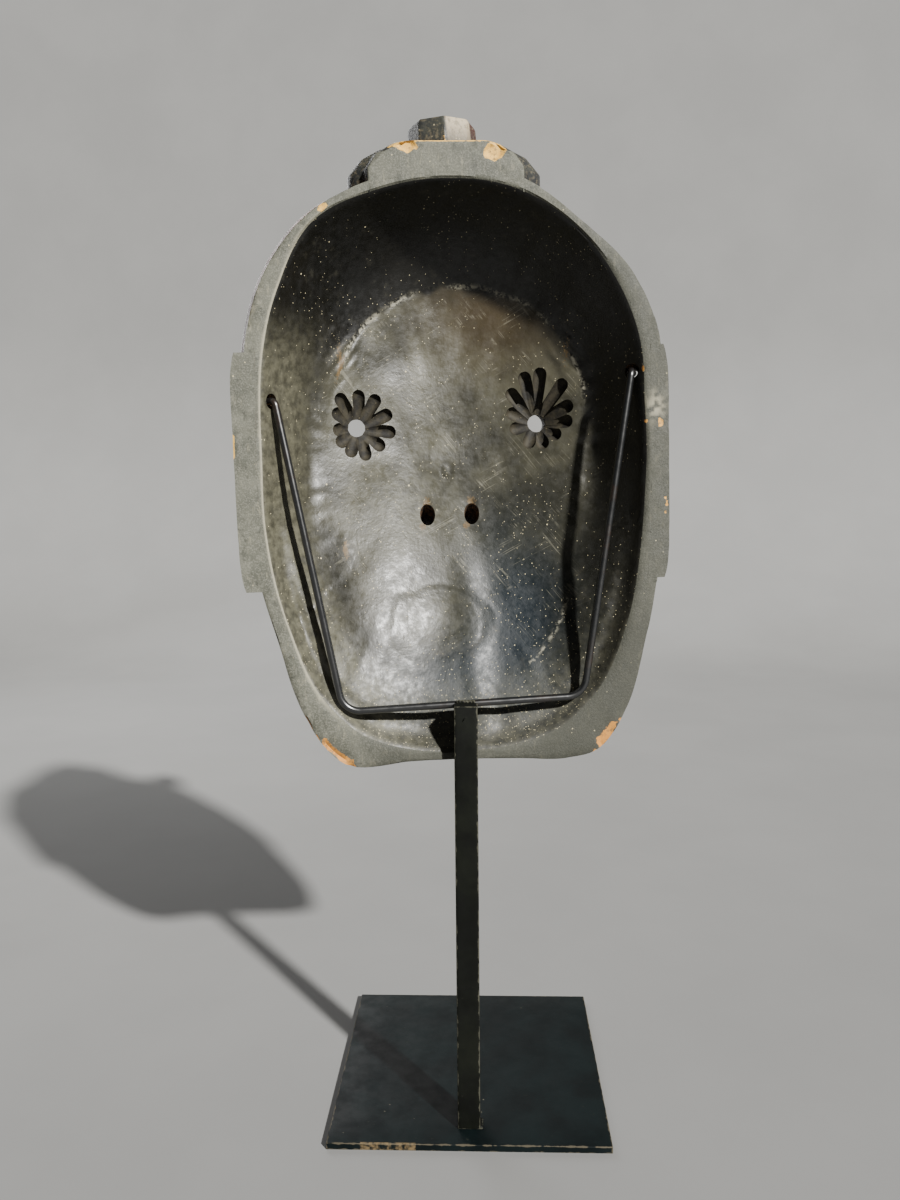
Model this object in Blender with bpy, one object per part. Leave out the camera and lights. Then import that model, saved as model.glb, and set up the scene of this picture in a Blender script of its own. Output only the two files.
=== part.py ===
"""A carved tengu mask, seen hollow side first, hung on a steel stand.

The row frame has its origin at the centre of the base plate's underside, +Z up. The hollow
back of the mask looks to +Y and its face to -Y. The mask is built in its own frame, with
the flat rim in the plane y = 0, the face towards -y and z up, and is then set in its pose.
Lengths are in metres and angles in degrees.
"""

import math

import bmesh
import bpy
import numpy as np
from mathutils import Matrix, Vector

# Clearance between pieces that touch
GAP = 0.0003

# Base plate
PLATE_SIDE = 0.200
PLATE_THICK = 0.005
PLATE_EDGE = 0.0005

# Post, a flat bar
POST_WIDTH = 0.016
POST_DEPTH = 0.012
POST_HEIGHT = 0.307
POST_SETBACK = 0.016
POST_EDGE = 0.0006

# Cradle rod
ROD_DIAMETER = 0.005
ROD_BELOW_POST_TOP = 0.0028
ROD_BEND = 0.014
ROD_HOOK_BEND = 0.004
ROD_SIDES = 10

# Pose of the mask on the stand: its rim leans on the back of the post
MASK_YAW = 6.3
MASK_ROLL = 1.2
MASK_ABOVE_ROD = 0.1708
MASK_RIGHT_OF_POST = 0.0060
RIM_BEHIND_POST = 0.0008

# Rim of the mask: angle from +x, outer radius, inner radius
RIM = (
    (0, 0.139, 0.1280),
    (15, 0.142, 0.1320),
    (30, 0.156, 0.1430),
    (45, 0.171, 0.1585),
    (60, 0.182, 0.1765),
    (75, 0.185, 0.1785),
    (90, 0.187, 0.1795),
    (105, 0.186, 0.1785),
    (120, 0.176, 0.1710),
    (135, 0.171, 0.1590),
    (150, 0.161, 0.1470),
    (165, 0.146, 0.1345),
    (180, 0.141, 0.1313),
    (195, 0.146, 0.1340),
    (210, 0.160, 0.1450),
    (225, 0.183, 0.1650),
    (238, 0.214, 0.1870),
    (245, 0.2265, 0.1960),
    (251, 0.2235, 0.2015),
    (260, 0.213, 0.2030),
    (270, 0.2085, 0.2025),
    (280, 0.2115, 0.2030),
    (290, 0.2235, 0.2005),
    (295, 0.2195, 0.1950),
    (302, 0.204, 0.1850),
    (315, 0.174, 0.1620),
    (330, 0.155, 0.1440),
    (345, 0.143, 0.1330),
)

# Depths, measured forward from the rim plane
FLOOR_DEPTH = 0.068
FACE_DEPTH = 0.106
FACE_POWER = 2.2

# Depth of the hollow: share of the way from its centre to the rim, and the depths there
# along rays at these angles from +x
HOLLOW_SHARES = (0.0, 0.35, 0.55, 0.70, 0.80, 0.90, 0.96, 1.0)
HOLLOW = (
    (0, 0.068, 0.0625, 0.0535, 0.0460, 0.0400, 0.0195, 0.0085, 0.0),
    (45, 0.068, 0.0670, 0.0600, 0.0500, 0.0385, 0.0205, 0.0090, 0.0),
    (90, 0.068, 0.0720, 0.0720, 0.0665, 0.0560, 0.0350, 0.0160, 0.0),
    (135, 0.068, 0.0670, 0.0600, 0.0500, 0.0385, 0.0205, 0.0090, 0.0),
    (180, 0.068, 0.0625, 0.0535, 0.0460, 0.0415, 0.0220, 0.0095, 0.0),
    (225, 0.068, 0.0610, 0.0500, 0.0385, 0.0270, 0.0140, 0.0098, 0.0),
    (270, 0.068, 0.0600, 0.0470, 0.0340, 0.0245, 0.0160, 0.0100, 0.0),
    (315, 0.068, 0.0610, 0.0490, 0.0360, 0.0240, 0.0125, 0.0098, 0.0),
)
HOLLOW_LEAN = 0.017
MOUTH_DENT = 0.004
CHIN_RIDGE = 0.002

# Face
EYE_X = 0.0652
EYE_Z = 0.0237
EYE_HOLE = 0.0047
EYE_FLARE = 0.0105
EYE_HOLE_SPREAD = 1.06
EYE_HOLE_RISE = 0.003
HOLE_PAST = 0.030
NOSTRIL_X = 0.0163
NOSTRIL_Z = -0.0440
NOSTRIL_SPREAD = 1.05
NOSTRIL_RISE = 0.012
NOSTRIL_DROP = 0.034
NOSTRIL_START = 0.020
NOSTRIL_PAST = 0.040
NOSTRIL_WIDTH = 0.0115
NOSTRIL_HEIGHT = 0.0155
NOSE_Z = -0.020
NOSE_LENGTH = 0.150
NOSE_INSET = 0.014
NOSE_ROOT = 0.026
NOSE_TIP = 0.020
NOSE_RISE = 4.0
NOSE_ARCH = 0.008
MOUTH_Z = -0.110

# Gouge cuts round the eye holes: direction from the hole and reach of the cut's round end
PETALS_LEFT = (
    (38, 0.0219),
    (62, 0.0283),
    (94, 0.0279),
    (123, 0.0290),
    (155, 0.0280),
    (186, 0.0280),
    (218, 0.0241),
    (255, 0.0237),
    (288, 0.0215),
    (322, 0.0194),
    (357, 0.0179),
)
PETALS_RIGHT = (
    (27, 0.0235),
    (53, 0.0329),
    (77, 0.0392),
    (95, 0.0407),
    (123, 0.0371),
    (151, 0.0287),
    (177, 0.0250),
    (212, 0.0194),
    (255, 0.0189),
    (294, 0.0189),
    (350, 0.0197),
)
GOUGE = 0.0046
GOUGE_DEEP = 0.0050
FUNNEL = 0.0085
FUNNEL_DEEP = 0.0040

# Swelling of the outside behind the rim, at the upper left
SWELL = 0.0045
SWELL_TOWARDS = 42

# Ears, in the rim plane
EAR_OUT = 0.1465
EAR_TOP = 0.071
EAR_BOTTOM = -0.0865
EAR_DEPTH = 0.046
EAR_BOWL = 0.009
EAR_ROOT = 0.007
EAR_FRONT = 1.3
EAR_BACK = 1.05
EAR_ENDS = 2.6

# Cap on the forehead: a low pleated drum with an eight-sided knob
CAP_SIDES = 12
CAP_CENTRE = 0.030
CAP_WAIST_Z = 0.1860
CAP_SHOULDER_Z = 0.1960
CAP_TOP_Z = 0.2025
CAP_TOP = (0.045, 0.036)
CAP_SHOULDER = (0.058, 0.041)
CAP_FOOT = (0.066, 0.046)
CAP_PLEAT = 0.965
CAP_LEAN = 0.25
CAP_SUNK = 0.004
CAP_CURVE = 0.19
KNOB_SIDES = 8
KNOB_RADIUS = 0.0250
KNOB_TOP_RADIUS = 0.0225
KNOB_TOP_Z = 0.2215
KNOB_BEVEL = 0.003
KNOB_SUNK = 0.009

# Cord holes in the side walls, which the rod's ends hook into
HOOK_LEFT = Vector((0.1185, -0.0075, 0.0400))
HOOK_RIGHT = Vector((-0.1225, -0.0065, 0.0545))
HOLE_LEFT = Vector((0.80, -0.60, 0.0)).normalized()
HOLE_RIGHT = Vector((-0.30, -0.95, 0.0)).normalized()
CORD_HOLE = 0.0038
CORD_MOUTH = 0.0052
HOOK_LENGTH = 0.017
ROD_CORNER_LEFT = (0.0818, -0.1713)
ROD_CORNER_RIGHT = (-0.0853, -0.1678)

# Mesh density of the carving, and the share of triangles kept where it is flat
GRID = 112
KEEP = 0.145


def material(name, colour, roughness, metallic):
    mat = bpy.data.materials.new(name)
    mat.use_nodes = True
    shader = mat.node_tree.nodes["Principled BSDF"]
    shader.inputs["Base Color"].default_value = (*colour, 1.0)
    shader.inputs["Roughness"].default_value = roughness
    shader.inputs["Metallic"].default_value = metallic
    return mat


def add_object(name, bm, mat, helper=False):
    mesh = bpy.data.meshes.new(name)
    bmesh.ops.recalc_face_normals(bm, faces=bm.faces)
    bm.to_mesh(mesh)
    bm.free()
    obj = bpy.data.objects.new(name, mesh)
    obj.data.materials.append(mat)
    bpy.context.scene.collection.objects.link(obj)
    if helper:
        obj.hide_render = True
        obj.display_type = "WIRE"
    return obj


def between(start, end, slope_start, slope_end, t):
    """Smooth curve from start to end with these slopes, at t from 0 to 1."""
    a = 2 * t**3 - 3 * t**2 + 1
    b = t**3 - 2 * t**2 + t
    c = t**3 - t**2
    return a * start + b * slope_start + (1 - a) * end + c * slope_end


def rim_radius(theta, column):
    """Radius of the rim's outer (1) or inner (2) edge, as a smooth closed curve."""
    angles = np.radians([row[0] for row in RIM])
    radii = np.array([row[column] for row in RIM])
    angles = np.concatenate([angles[-2:] - 2 * np.pi, angles, angles[:2] + 2 * np.pi])
    radii = np.concatenate([radii[-2:], radii, radii[:2]])
    slopes = (radii[2:] - radii[:-2]) / (angles[2:] - angles[:-2])
    theta = np.mod(theta, 2 * np.pi)
    i = np.clip(np.searchsorted(angles, theta, side="right") - 1, 1, len(angles) - 3)
    span = angles[i + 1] - angles[i]
    t = (theta - angles[i]) / span
    return between(radii[i], radii[i + 1], slopes[i - 1] * span, slopes[i] * span, t)


def bump(x, z, centre_x, centre_z, reach_x, reach_z):
    return np.exp(-(((x - centre_x) / reach_x) ** 2) - ((z - centre_z) / reach_z) ** 2)


def ridge(distance, reach):
    return np.exp(-((distance / reach) ** 2))


def fade(value, low, high):
    """0 below low, 1 above high, smooth between."""
    t = np.clip((value - low) / (high - low), 0, 1)
    return t * t * (3 - 2 * t)


def petals(x, z):
    """Depth of the flower of gouge cuts round each eye hole, which meet in a funnel."""
    deep = np.zeros_like(x)
    for hole_x, cuts in ((EYE_X, PETALS_LEFT), (-EYE_X, PETALS_RIGHT)):
        dx = x - hole_x
        dz = z - EYE_Z
        for direction, reach in cuts:
            turn = math.radians(direction)
            along = dx * math.cos(turn) + dz * math.sin(turn)
            beyond = along - np.clip(along, 0, reach - GOUGE)
            away = np.hypot(beyond, dx * math.sin(turn) - dz * math.cos(turn))
            round_cut = GOUGE_DEEP * np.sqrt(np.clip(1 - (away / GOUGE) ** 2, 0, 1))
            deep = np.maximum(deep, round_cut)
        deep = deep + FUNNEL_DEEP * bump(dx, dz, 0, 0, FUNNEL, FUNNEL)
    return deep


def bowl(rho, theta):
    """Depth of the plain bowl, smooth along each ray and round the centre."""
    shares = np.array(HOLLOW_SHARES)
    angles = np.radians([row[0] for row in HOLLOW])
    depths = np.array([row[1:] for row in HOLLOW])
    slopes = np.gradient(depths, shares, axis=1)
    slopes[:, 0] = HOLLOW_LEAN * np.sin(angles)
    rho = np.clip(rho, 0, 1)
    i = np.clip(np.searchsorted(shares, rho, side="right") - 1, 0, len(shares) - 2)
    span = shares[i + 1] - shares[i]
    t = (rho - shares[i]) / span
    rays = between(depths[:, i], depths[:, i + 1], slopes[:, i] * span, slopes[:, i + 1] * span, t)
    count = len(HOLLOW)
    turn = np.mod(theta, 2 * np.pi) * count / (2 * np.pi)
    k = np.floor(turn).astype(int)
    last, here, after, later = (
        np.take_along_axis(rays, np.reshape((k + step) % count, (1, *np.shape(rho))), 0)[0]
        for step in (-1, 0, 1, 2)
    )
    return between(here, after, (after - last) / 2, (later - here) / 2, turn - k)


def hollow_depth(x, z, rho, theta):
    """Depth of the hollow: the bowl with the dent behind the mouth and the chin's ridge."""
    depth = bowl(rho, theta)
    depth = depth + MOUTH_DENT * bump(x, z, 0.012, -0.118, 0.034, 0.024)
    ridged = ridge(x + 0.012, 0.010) * fade(-z, 0.06, 0.09) * fade(depth, 0.0, 0.02)
    depth = depth - CHIN_RIDGE * ridged
    return np.maximum(depth, 0) + petals(x, z)


def brow_line(x):
    return 0.043 + 0.017 * np.sin(np.pi * np.clip((x - 0.010) / 0.092, 0, 1))


def face_relief(x, z):
    """How far the carving stands out of the plain dome of the face."""
    side = np.abs(x)
    out = 0.008 * bump(side, z, 0.082, -0.046, 0.030, 0.032)
    out += 0.020 * bump(x, z, 0, -0.018, 0.030, 0.045)
    out += 0.012 * bump(side, z, 0.021, -0.040, 0.011, 0.012)
    out += 0.009 * bump(x, z, 0, MOUTH_Z, 0.060, 0.034)
    out += 0.013 * bump(x, z, 0, -0.166, 0.040, 0.022)
    out += 0.007 * bump(x, z, 0, 0.110, 0.090, 0.040)

    # Eyes: socket, ball and lids
    out -= 0.011 * bump(side, z, EYE_X, EYE_Z - 0.002, 0.036, 0.023)
    eye = np.hypot((side - EYE_X) / 0.027, (z - EYE_Z) / 0.0165)
    out += 0.013 * np.sqrt(np.clip(1 - eye**2, 0, 1))
    out += 0.005 * ridge(eye - 1.12, 0.16)

    # Brows, with the tufts cut as broad waves
    line = z - brow_line(side)
    along = fade(side, 0.004, 0.016) * (1 - fade(side, 0.090, 0.108))
    out += 0.014 * along * ridge(line, 0.0135)
    out += 0.0022 * along * ridge(line, 0.015) * np.cos(2 * np.pi * (side - 0.7 * line) / 0.012)

    # Frown and forehead furrows
    out -= 0.005 * ridge(side - 0.010 - 0.1 * (z - 0.05), 0.0035) * bump(x, z, 0, 0.058, 1, 0.018)
    for height in (0.090, 0.106, 0.122):
        wave = z - height + 0.020 * (side / 0.09) ** 2 - 0.004 * np.cos(side / 0.014)
        out -= 0.0035 * ridge(wave, 0.0036) * (1 - fade(side, 0.060, 0.085))

    # Fold from the nose to the corner of the mouth
    fold = side - 0.030 - 0.034 * fade(-z, 0.035, 0.105)
    out -= 0.005 * ridge(fold, 0.006) * fade(-z, 0.025, 0.050) * (1 - fade(-z, 0.105, 0.125))

    # Moustache and lips
    moustache = z - MOUTH_Z - 0.024 + 0.022 * (side / 0.06) ** 2
    reach = 1 - fade(side, 0.060, 0.082)
    out += 0.006 * ridge(moustache, 0.0075) * reach
    out += 0.0016 * ridge(moustache, 0.009) * reach * np.cos(2 * np.pi * (side + moustache) / 0.011)
    slit = z - MOUTH_Z + 0.012 * (side / 0.055) ** 2
    width = 1 - fade(side, 0.046, 0.060)
    out -= 0.009 * ridge(slit, 0.0042) * width
    out += 0.005 * ridge(slit - 0.009, 0.0055) * width
    out += 0.006 * ridge(slit + 0.010, 0.0065) * width

    # Beard under the lip
    beard = bump(x, z, 0, -0.166, 0.045, 0.014)
    out += 0.0025 * beard * np.cos(2 * np.pi * side / 0.014)
    return out


def concentric(cells):
    """Unit square grid laid on the unit disc: rho and theta of (cells + 1)^2 points."""
    a, b = np.meshgrid(np.linspace(-1, 1, cells + 1), np.linspace(-1, 1, cells + 1))
    wide = np.abs(a) > np.abs(b)
    safe_a = np.where(a == 0, 1, a)
    safe_b = np.where(b == 0, 1, b)
    angle = np.where(wide, (np.pi / 4) * b / safe_a, np.pi / 2 - (np.pi / 4) * a / safe_b)
    radius = np.where(wide, a, b)
    return np.abs(radius).ravel(), (angle + np.where(radius < 0, np.pi, 0)).ravel()


def hollow_points(cells):
    rho, theta = concentric(cells)
    radius = rho * rim_radius(theta, 2)
    x = radius * np.cos(theta)
    z = radius * np.sin(theta)
    depth = np.where(rho > 0.9999, 0, hollow_depth(x, z, rho, theta))
    return np.stack([x, -depth, z], 1)


def swelling(theta, forward):
    """How far the outside bellies out past the rim, on the upper left."""
    there = fade(np.cos(theta - math.radians(SWELL_TOWARDS)), 0.80, 0.97)
    return SWELL * there * fade(forward, 0.0, 0.014) * (1 - fade(forward, 0.050, 0.090))


def face_points(cells):
    """The outside: a dome that leaves the rim almost straight, with the face carved on it."""
    rho, theta = concentric(cells)
    turn = rho * np.pi / 2
    share = np.sin(turn) ** (2 / FACE_POWER)
    depth = np.clip(np.cos(turn), 0, 1) ** (2 / FACE_POWER)
    radius = share * rim_radius(theta, 1)
    x = radius * np.cos(theta)
    z = radius * np.sin(theta)
    chin = 1 - 0.25 * fade(-z, 0.10, 0.21)
    level = fade(depth, 0.30, 0.75)
    forward = FACE_DEPTH * depth * chin + level * face_relief(x, z)
    forward = np.where(rho > 0.9999, 0, forward)
    swollen = 1 + swelling(theta, forward) / np.maximum(radius, SWELL)
    return np.stack([x * swollen, -forward, z * swollen], 1)


def perimeter(cells):
    """Indices of the grid's border points, in order round it."""
    side = cells + 1
    bottom = [i for i in range(cells)]
    right = [i * side + cells for i in range(cells)]
    top = [cells * side + i for i in range(cells, 0, -1)]
    left = [i * side for i in range(cells, 0, -1)]
    return bottom + right + top + left


def carved_shell(cells):
    """The bare mask: hollow sheet, face sheet and the flat rim that joins them."""
    side = cells + 1
    points = np.concatenate([hollow_points(cells), face_points(cells)])
    bm = bmesh.new()
    verts = [bm.verts.new(p) for p in points]
    second = side * side
    for j in range(cells):
        for i in range(cells):
            a = j * side + i
            quad = (a, a + 1, a + side + 1, a + side)
            bm.faces.new([verts[k] for k in quad])
            bm.faces.new([verts[second + k] for k in reversed(quad)])
    ring = perimeter(cells)
    for a, b in zip(ring, ring[1:] + ring[:1]):
        bm.faces.new([verts[b], verts[a], verts[second + a], verts[second + b]])
    return bm


def loft(rings, closed_ends=True):
    """Skin over rings of equally many points."""
    bm = bmesh.new()
    made = [[bm.verts.new(p) for p in ring] for ring in rings]
    for low, high in zip(made, made[1:]):
        for i in range(len(low)):
            j = (i + 1) % len(low)
            bm.faces.new([low[i], low[j], high[j], high[i]])
    if closed_ends:
        bm.faces.new(list(reversed(made[0])))
        bm.faces.new(made[-1])
    return bm


def nose(mat):
    """Long nose: oval, a little arched, flared at its root, with a round heavy tip."""
    rings = []
    steps = 18
    for k in range(steps + 1):
        t = k / steps
        along = -NOSE_INSET + (NOSE_LENGTH + NOSE_INSET) * t
        share = max(0.0, along) / NOSE_LENGTH
        size = NOSE_ROOT + (NOSE_TIP - NOSE_ROOT) * math.sin(math.pi / 2 * share)
        size = size * (1 + 0.30 * math.exp(-along / 0.016)) if along > 0 else size * 1.30
        size = size * (1 + 0.10 * math.exp(-(((share - 0.88) / 0.10) ** 2)))
        tip = max(0.0, (share - 0.86) / 0.14)
        size = size * math.sqrt(max(0.01, 1 - tip**2.2))
        lift = math.tan(math.radians(NOSE_RISE)) * along + NOSE_ARCH * math.sin(math.pi * share)
        ring = []
        for i in range(20):
            a = 2 * math.pi * i / 20
            height = NOSE_Z + lift + size * math.sin(a)
            ring.append((0.92 * size * math.cos(a), -FACE_DEPTH - along, height))
        rings.append(ring)
    return add_object("nose_form", loft(rings), mat, helper=True)


def dome_half_width(side, depth, z):
    """Half-width of the face's plain dome at a height and depth."""
    share = (1 - min(1.0, depth / FACE_DEPTH) ** FACE_POWER) ** (1 / FACE_POWER)
    x = 0.130
    for _ in range(6):
        theta = math.atan2(z, side * x)
        radius = share * float(rim_radius(theta, 1))
        x = math.sqrt(max(1e-6, radius**2 - z**2))
    return x


def ear(side, mat):
    """Ear on the side wall: a raised helix round a hollow, over a round lobe."""
    rows, columns = 22, 10
    height = EAR_TOP - EAR_BOTTOM
    rings = []
    for j in range(rows + 1):
        v = j / rows
        z = EAR_BOTTOM + height * v
        corner = 1 - 0.025 * abs(2 * v - 1) ** 8
        deep = EAR_DEPTH * (0.62 + 0.38 * math.sin(math.pi * min(1, 0.15 + 0.75 * v)))
        ring = []
        for i in range(5):
            depth = GAP + (deep - GAP) * i / 4
            ring.append((side * (dome_half_width(side, depth, z) - EAR_ROOT), -depth, z))
        for i in range(columns + 1):
            u = i / columns
            depth = deep + (GAP - deep) * u
            border = min(EAR_FRONT * u, EAR_BACK - u, EAR_ENDS * v, EAR_ENDS * (1 - v))
            bowl = fade(border, 0.14, 0.30) * (1 - 0.5 * math.exp(-(((u - 0.5) / 0.13) ** 2)))
            out = EAR_OUT * corner - 0.008 * (1 - u) ** 2 - EAR_BOWL * bowl
            ring.append((side * out, -depth, z))
        rings.append(ring)
    return add_object("ear_form", loft(rings), mat, helper=True)


def dome_height(depth):
    """Height of the face's plain dome on the centre line, at a depth."""
    share = min(1.0, depth / FACE_DEPTH)
    return float(rim_radius(np.pi / 2, 1)) * (1 - share**FACE_POWER) ** (1 / FACE_POWER)


def cap(mat):
    """Pleated drum of the cap: its foot follows the dome, and the rim plane cuts its back."""
    heart = (CAP_FOOT[0] / 2, CAP_FOOT[1] / 2)
    levels = (
        (heart, None),
        (CAP_FOOT, None),
        (CAP_FOOT, CAP_WAIST_Z),
        (CAP_SHOULDER, CAP_SHOULDER_Z),
        (CAP_TOP, CAP_TOP_Z),
    )
    rings = []
    for (reach_x, reach_y), z in levels:
        ring = []
        for i in range(2 * CAP_SIDES):
            a = math.pi * (i + 0.5) / CAP_SIDES
            fold = 1.0 if i % 2 else CAP_PLEAT
            x = reach_x * fold * math.cos(a)
            y = -CAP_CENTRE + reach_y * fold * math.sin(a)
            forward = min(max(-y, 0.0), 0.95 * FACE_DEPTH)
            foot = dome_height(forward) * math.sqrt(1 - (x / CAP_CURVE) ** 2)
            lean = CAP_LEAN * max(0.0, -y - CAP_CENTRE)
            ring.append((x, y, foot - CAP_SUNK if z is None else z - lean))
        rings.append(ring)
    bm = loft(rings)
    everything = bm.verts[:] + bm.edges[:] + bm.faces[:]
    cut = bmesh.ops.bisect_plane(
        bm, geom=everything, plane_co=(0, -GAP, 0), plane_no=(0, 1, 0), clear_outer=True
    )
    border = [e for e in cut["geom_cut"] if isinstance(e, bmesh.types.BMEdge)]
    bmesh.ops.contextual_create(bm, geom=border)
    return add_object("cap_form", bm, mat, helper=True)


def knob(mat):
    """Eight-sided knob on the cap, one edge towards the back."""
    low, high = CAP_TOP_Z - KNOB_SUNK, KNOB_TOP_Z
    slope = (KNOB_TOP_RADIUS - KNOB_RADIUS) / (high - low)
    rings = []
    for radius, z in (
        (KNOB_RADIUS, low),
        (KNOB_TOP_RADIUS - slope * KNOB_BEVEL, high - KNOB_BEVEL),
        (KNOB_TOP_RADIUS - 0.35 * KNOB_BEVEL, high - 0.3 * KNOB_BEVEL),
        (KNOB_TOP_RADIUS - 1.3 * KNOB_BEVEL, high),
    ):
        ring = []
        for i in range(KNOB_SIDES):
            a = math.pi / 2 + 2 * math.pi * i / KNOB_SIDES
            ring.append((radius * math.cos(a), -CAP_CENTRE + radius * math.sin(a), z))
        rings.append(ring)
    return add_object("knob_form", loft(rings), mat, helper=True)


def frustum(name, start, end, first, last, mat, sides=20, shape=(1.0, 1.0)):
    """Round or oval cutter from one point to another."""
    axis = (end - start).normalized()
    across = axis.cross(Vector((0, 0, 1))).normalized()
    up = across.cross(axis)
    rings = []
    for centre, radius in ((start, first), (end, last)):
        ring = []
        for i in range(sides):
            a = 2 * math.pi * i / sides
            ring.append(centre + radius * (across * shape[0] * math.cos(a) + up * shape[1] * math.sin(a)))
        rings.append(ring)
    return add_object(name, loft(rings), mat, helper=True)


def cord_hole(name, hook, direction, mat):
    """Cord hole through a side wall, wider at its mouth."""
    across = direction.cross(Vector((0, 0, 1))).normalized()
    up = across.cross(direction)
    rings = []
    for along, radius in ((-0.006, CORD_MOUTH), (0.006, CORD_MOUTH), (0.010, CORD_HOLE), (0.060, CORD_HOLE)):
        ring = []
        for i in range(14):
            a = 2 * math.pi * i / 14
            ring.append(hook + along * direction + radius * (across * math.cos(a) + up * math.sin(a)))
        rings.append(ring)
    return add_object(name, loft(rings), mat, helper=True)


def boolean(obj, operand, operation):
    mod = obj.modifiers.new(operand.name, "BOOLEAN")
    mod.operation = operation
    mod.solver = "EXACT"
    mod.object = operand


def mask_pose():
    """Where the mask's frame sits in the row frame: the rim leans on the post's back."""
    turn = Matrix.Rotation(math.radians(MASK_YAW), 4, "Z") @ Matrix.Rotation(math.radians(MASK_ROLL), 4, "Y")
    back = PLATE_SIDE / 2 - POST_SETBACK - POST_DEPTH - RIM_BEHIND_POST
    top = PLATE_THICK + GAP + POST_HEIGHT
    height = top - ROD_BELOW_POST_TOP + MASK_ABOVE_ROD
    return Matrix.Translation((MASK_RIGHT_OF_POST, back, height)) @ turn


def carved_mask(mat):
    mask = add_object("carved_mask", carved_shell(GRID), mat)
    helpers = [nose(mat), ear(1, mat), ear(-1, mat), cap(mat), knob(mat)]
    cutters = []
    oval = (1.0, NOSTRIL_HEIGHT / NOSTRIL_WIDTH)
    for side in (1, -1):
        eye = side * EYE_X
        cutters.append(frustum(
            "eye_hole",
            Vector((eye, -FLOOR_DEPTH + HOLE_PAST, EYE_Z)),
            Vector((eye * EYE_HOLE_SPREAD, -FACE_DEPTH - HOLE_PAST, EYE_Z + EYE_HOLE_RISE)),
            EYE_HOLE, EYE_FLARE, mat,
        ))
        nostril = side * NOSTRIL_X
        cutters.append(frustum(
            "nostril",
            Vector((nostril, -FLOOR_DEPTH + NOSTRIL_START, NOSTRIL_Z + NOSTRIL_RISE)),
            Vector((nostril * NOSTRIL_SPREAD, -FACE_DEPTH - NOSTRIL_PAST, NOSTRIL_Z - NOSTRIL_DROP)),
            NOSTRIL_WIDTH / 2, NOSTRIL_WIDTH / 2 * 0.9, mat, 16, oval,
        ))
    cutters.append(cord_hole("cord_hole", HOOK_LEFT, HOLE_LEFT, mat))
    cutters.append(cord_hole("cord_hole", HOOK_RIGHT, HOLE_RIGHT, mat))
    for helper in helpers:
        boolean(mask, helper, "UNION")
    thin = mask.modifiers.new("thin", "DECIMATE")
    thin.ratio = KEEP
    for cutter in cutters:
        boolean(mask, cutter, "DIFFERENCE")
    pose = mask_pose()
    for obj in [mask, *helpers, *cutters]:
        obj.matrix_world = pose
    mask.data.shade_smooth()
    mask.data.set_sharp_from_angle(angle=math.radians(35))
    return mask


def rounded_path(corners, radii, steps):
    """Points along straight runs joined by arcs."""
    points = [corners[0]]
    for i in range(1, len(corners) - 1):
        here = corners[i]
        to_last = (corners[i - 1] - here).normalized()
        to_next = (corners[i + 1] - here).normalized()
        half = to_last.angle(to_next) / 2
        cut = radii[i - 1] / math.tan(half)
        centre = here + (to_last + to_next).normalized() * (radii[i - 1] / math.sin(half))
        first = (here + to_last * cut - centre).normalized()
        last = (here + to_next * cut - centre).normalized()
        for k in range(steps + 1):
            points.append(centre + radii[i - 1] * first.slerp(last, k / steps))
    return [*points, corners[-1]]


def cradle_rod(mat):
    """The U rod: bottom run behind the post, two uprights and hooks in the cord holes."""
    pose = mask_pose()
    yaw = math.radians(MASK_YAW)
    turned = (POST_WIDTH / 2 - MASK_RIGHT_OF_POST) * math.tan(yaw)
    behind = RIM_BEHIND_POST - GAP - turned - ROD_DIAMETER / 2 / math.cos(yaw)
    corners = [
        HOOK_LEFT + HOLE_LEFT * HOOK_LENGTH,
        HOOK_LEFT,
        Vector((ROD_CORNER_LEFT[0], behind, ROD_CORNER_LEFT[1])),
        Vector((ROD_CORNER_RIGHT[0], behind, ROD_CORNER_RIGHT[1])),
        HOOK_RIGHT,
        HOOK_RIGHT + HOLE_RIGHT * HOOK_LENGTH,
    ]
    corners = [pose @ corner for corner in corners]
    bends = (ROD_HOOK_BEND, ROD_BEND, ROD_BEND, ROD_HOOK_BEND)
    path = rounded_path(corners, bends, 5)
    curve = bpy.data.curves.new("cradle_rod", "CURVE")
    curve.dimensions = "3D"
    curve.bevel_depth = ROD_DIAMETER / 2
    curve.bevel_resolution = (ROD_SIDES - 4) // 2
    curve.use_fill_caps = True
    spline = curve.splines.new("POLY")
    spline.points.add(len(path) - 1)
    for point, place in zip(spline.points, path):
        point.co = (*place, 1.0)
    curve.materials.append(mat)
    rod = bpy.data.objects.new("cradle_rod", curve)
    bpy.context.scene.collection.objects.link(rod)
    return rod


def box(name, size, centre, edge, mat):
    bm = bmesh.new()
    bmesh.ops.create_cube(bm, size=1.0)
    bmesh.ops.scale(bm, vec=size, verts=bm.verts)
    obj = add_object(name, bm, mat)
    obj.location = centre
    bevel = obj.modifiers.new("edge", "BEVEL")
    bevel.width = edge
    bevel.segments = 2
    return obj


def stand(steel):
    plate = (PLATE_SIDE, PLATE_SIDE, PLATE_THICK)
    box("base_plate", plate, (0, 0, PLATE_THICK / 2), PLATE_EDGE, steel)
    post = (POST_WIDTH, POST_DEPTH, POST_HEIGHT)
    y = PLATE_SIDE / 2 - POST_SETBACK - POST_DEPTH / 2
    box("post", post, (0, y, PLATE_THICK + GAP + POST_HEIGHT / 2), POST_EDGE, steel)


def main():
    for obj in list(bpy.data.objects):
        bpy.data.objects.remove(obj)
    lacquer = material("lacquered_wood", (0.030, 0.028, 0.025), 0.45, 0.0)
    steel = material("blackened_steel", (0.012, 0.016, 0.016), 0.45, 0.6)
    carved_mask(lacquer)
    cradle_rod(steel)
    stand(steel)


main()
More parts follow.
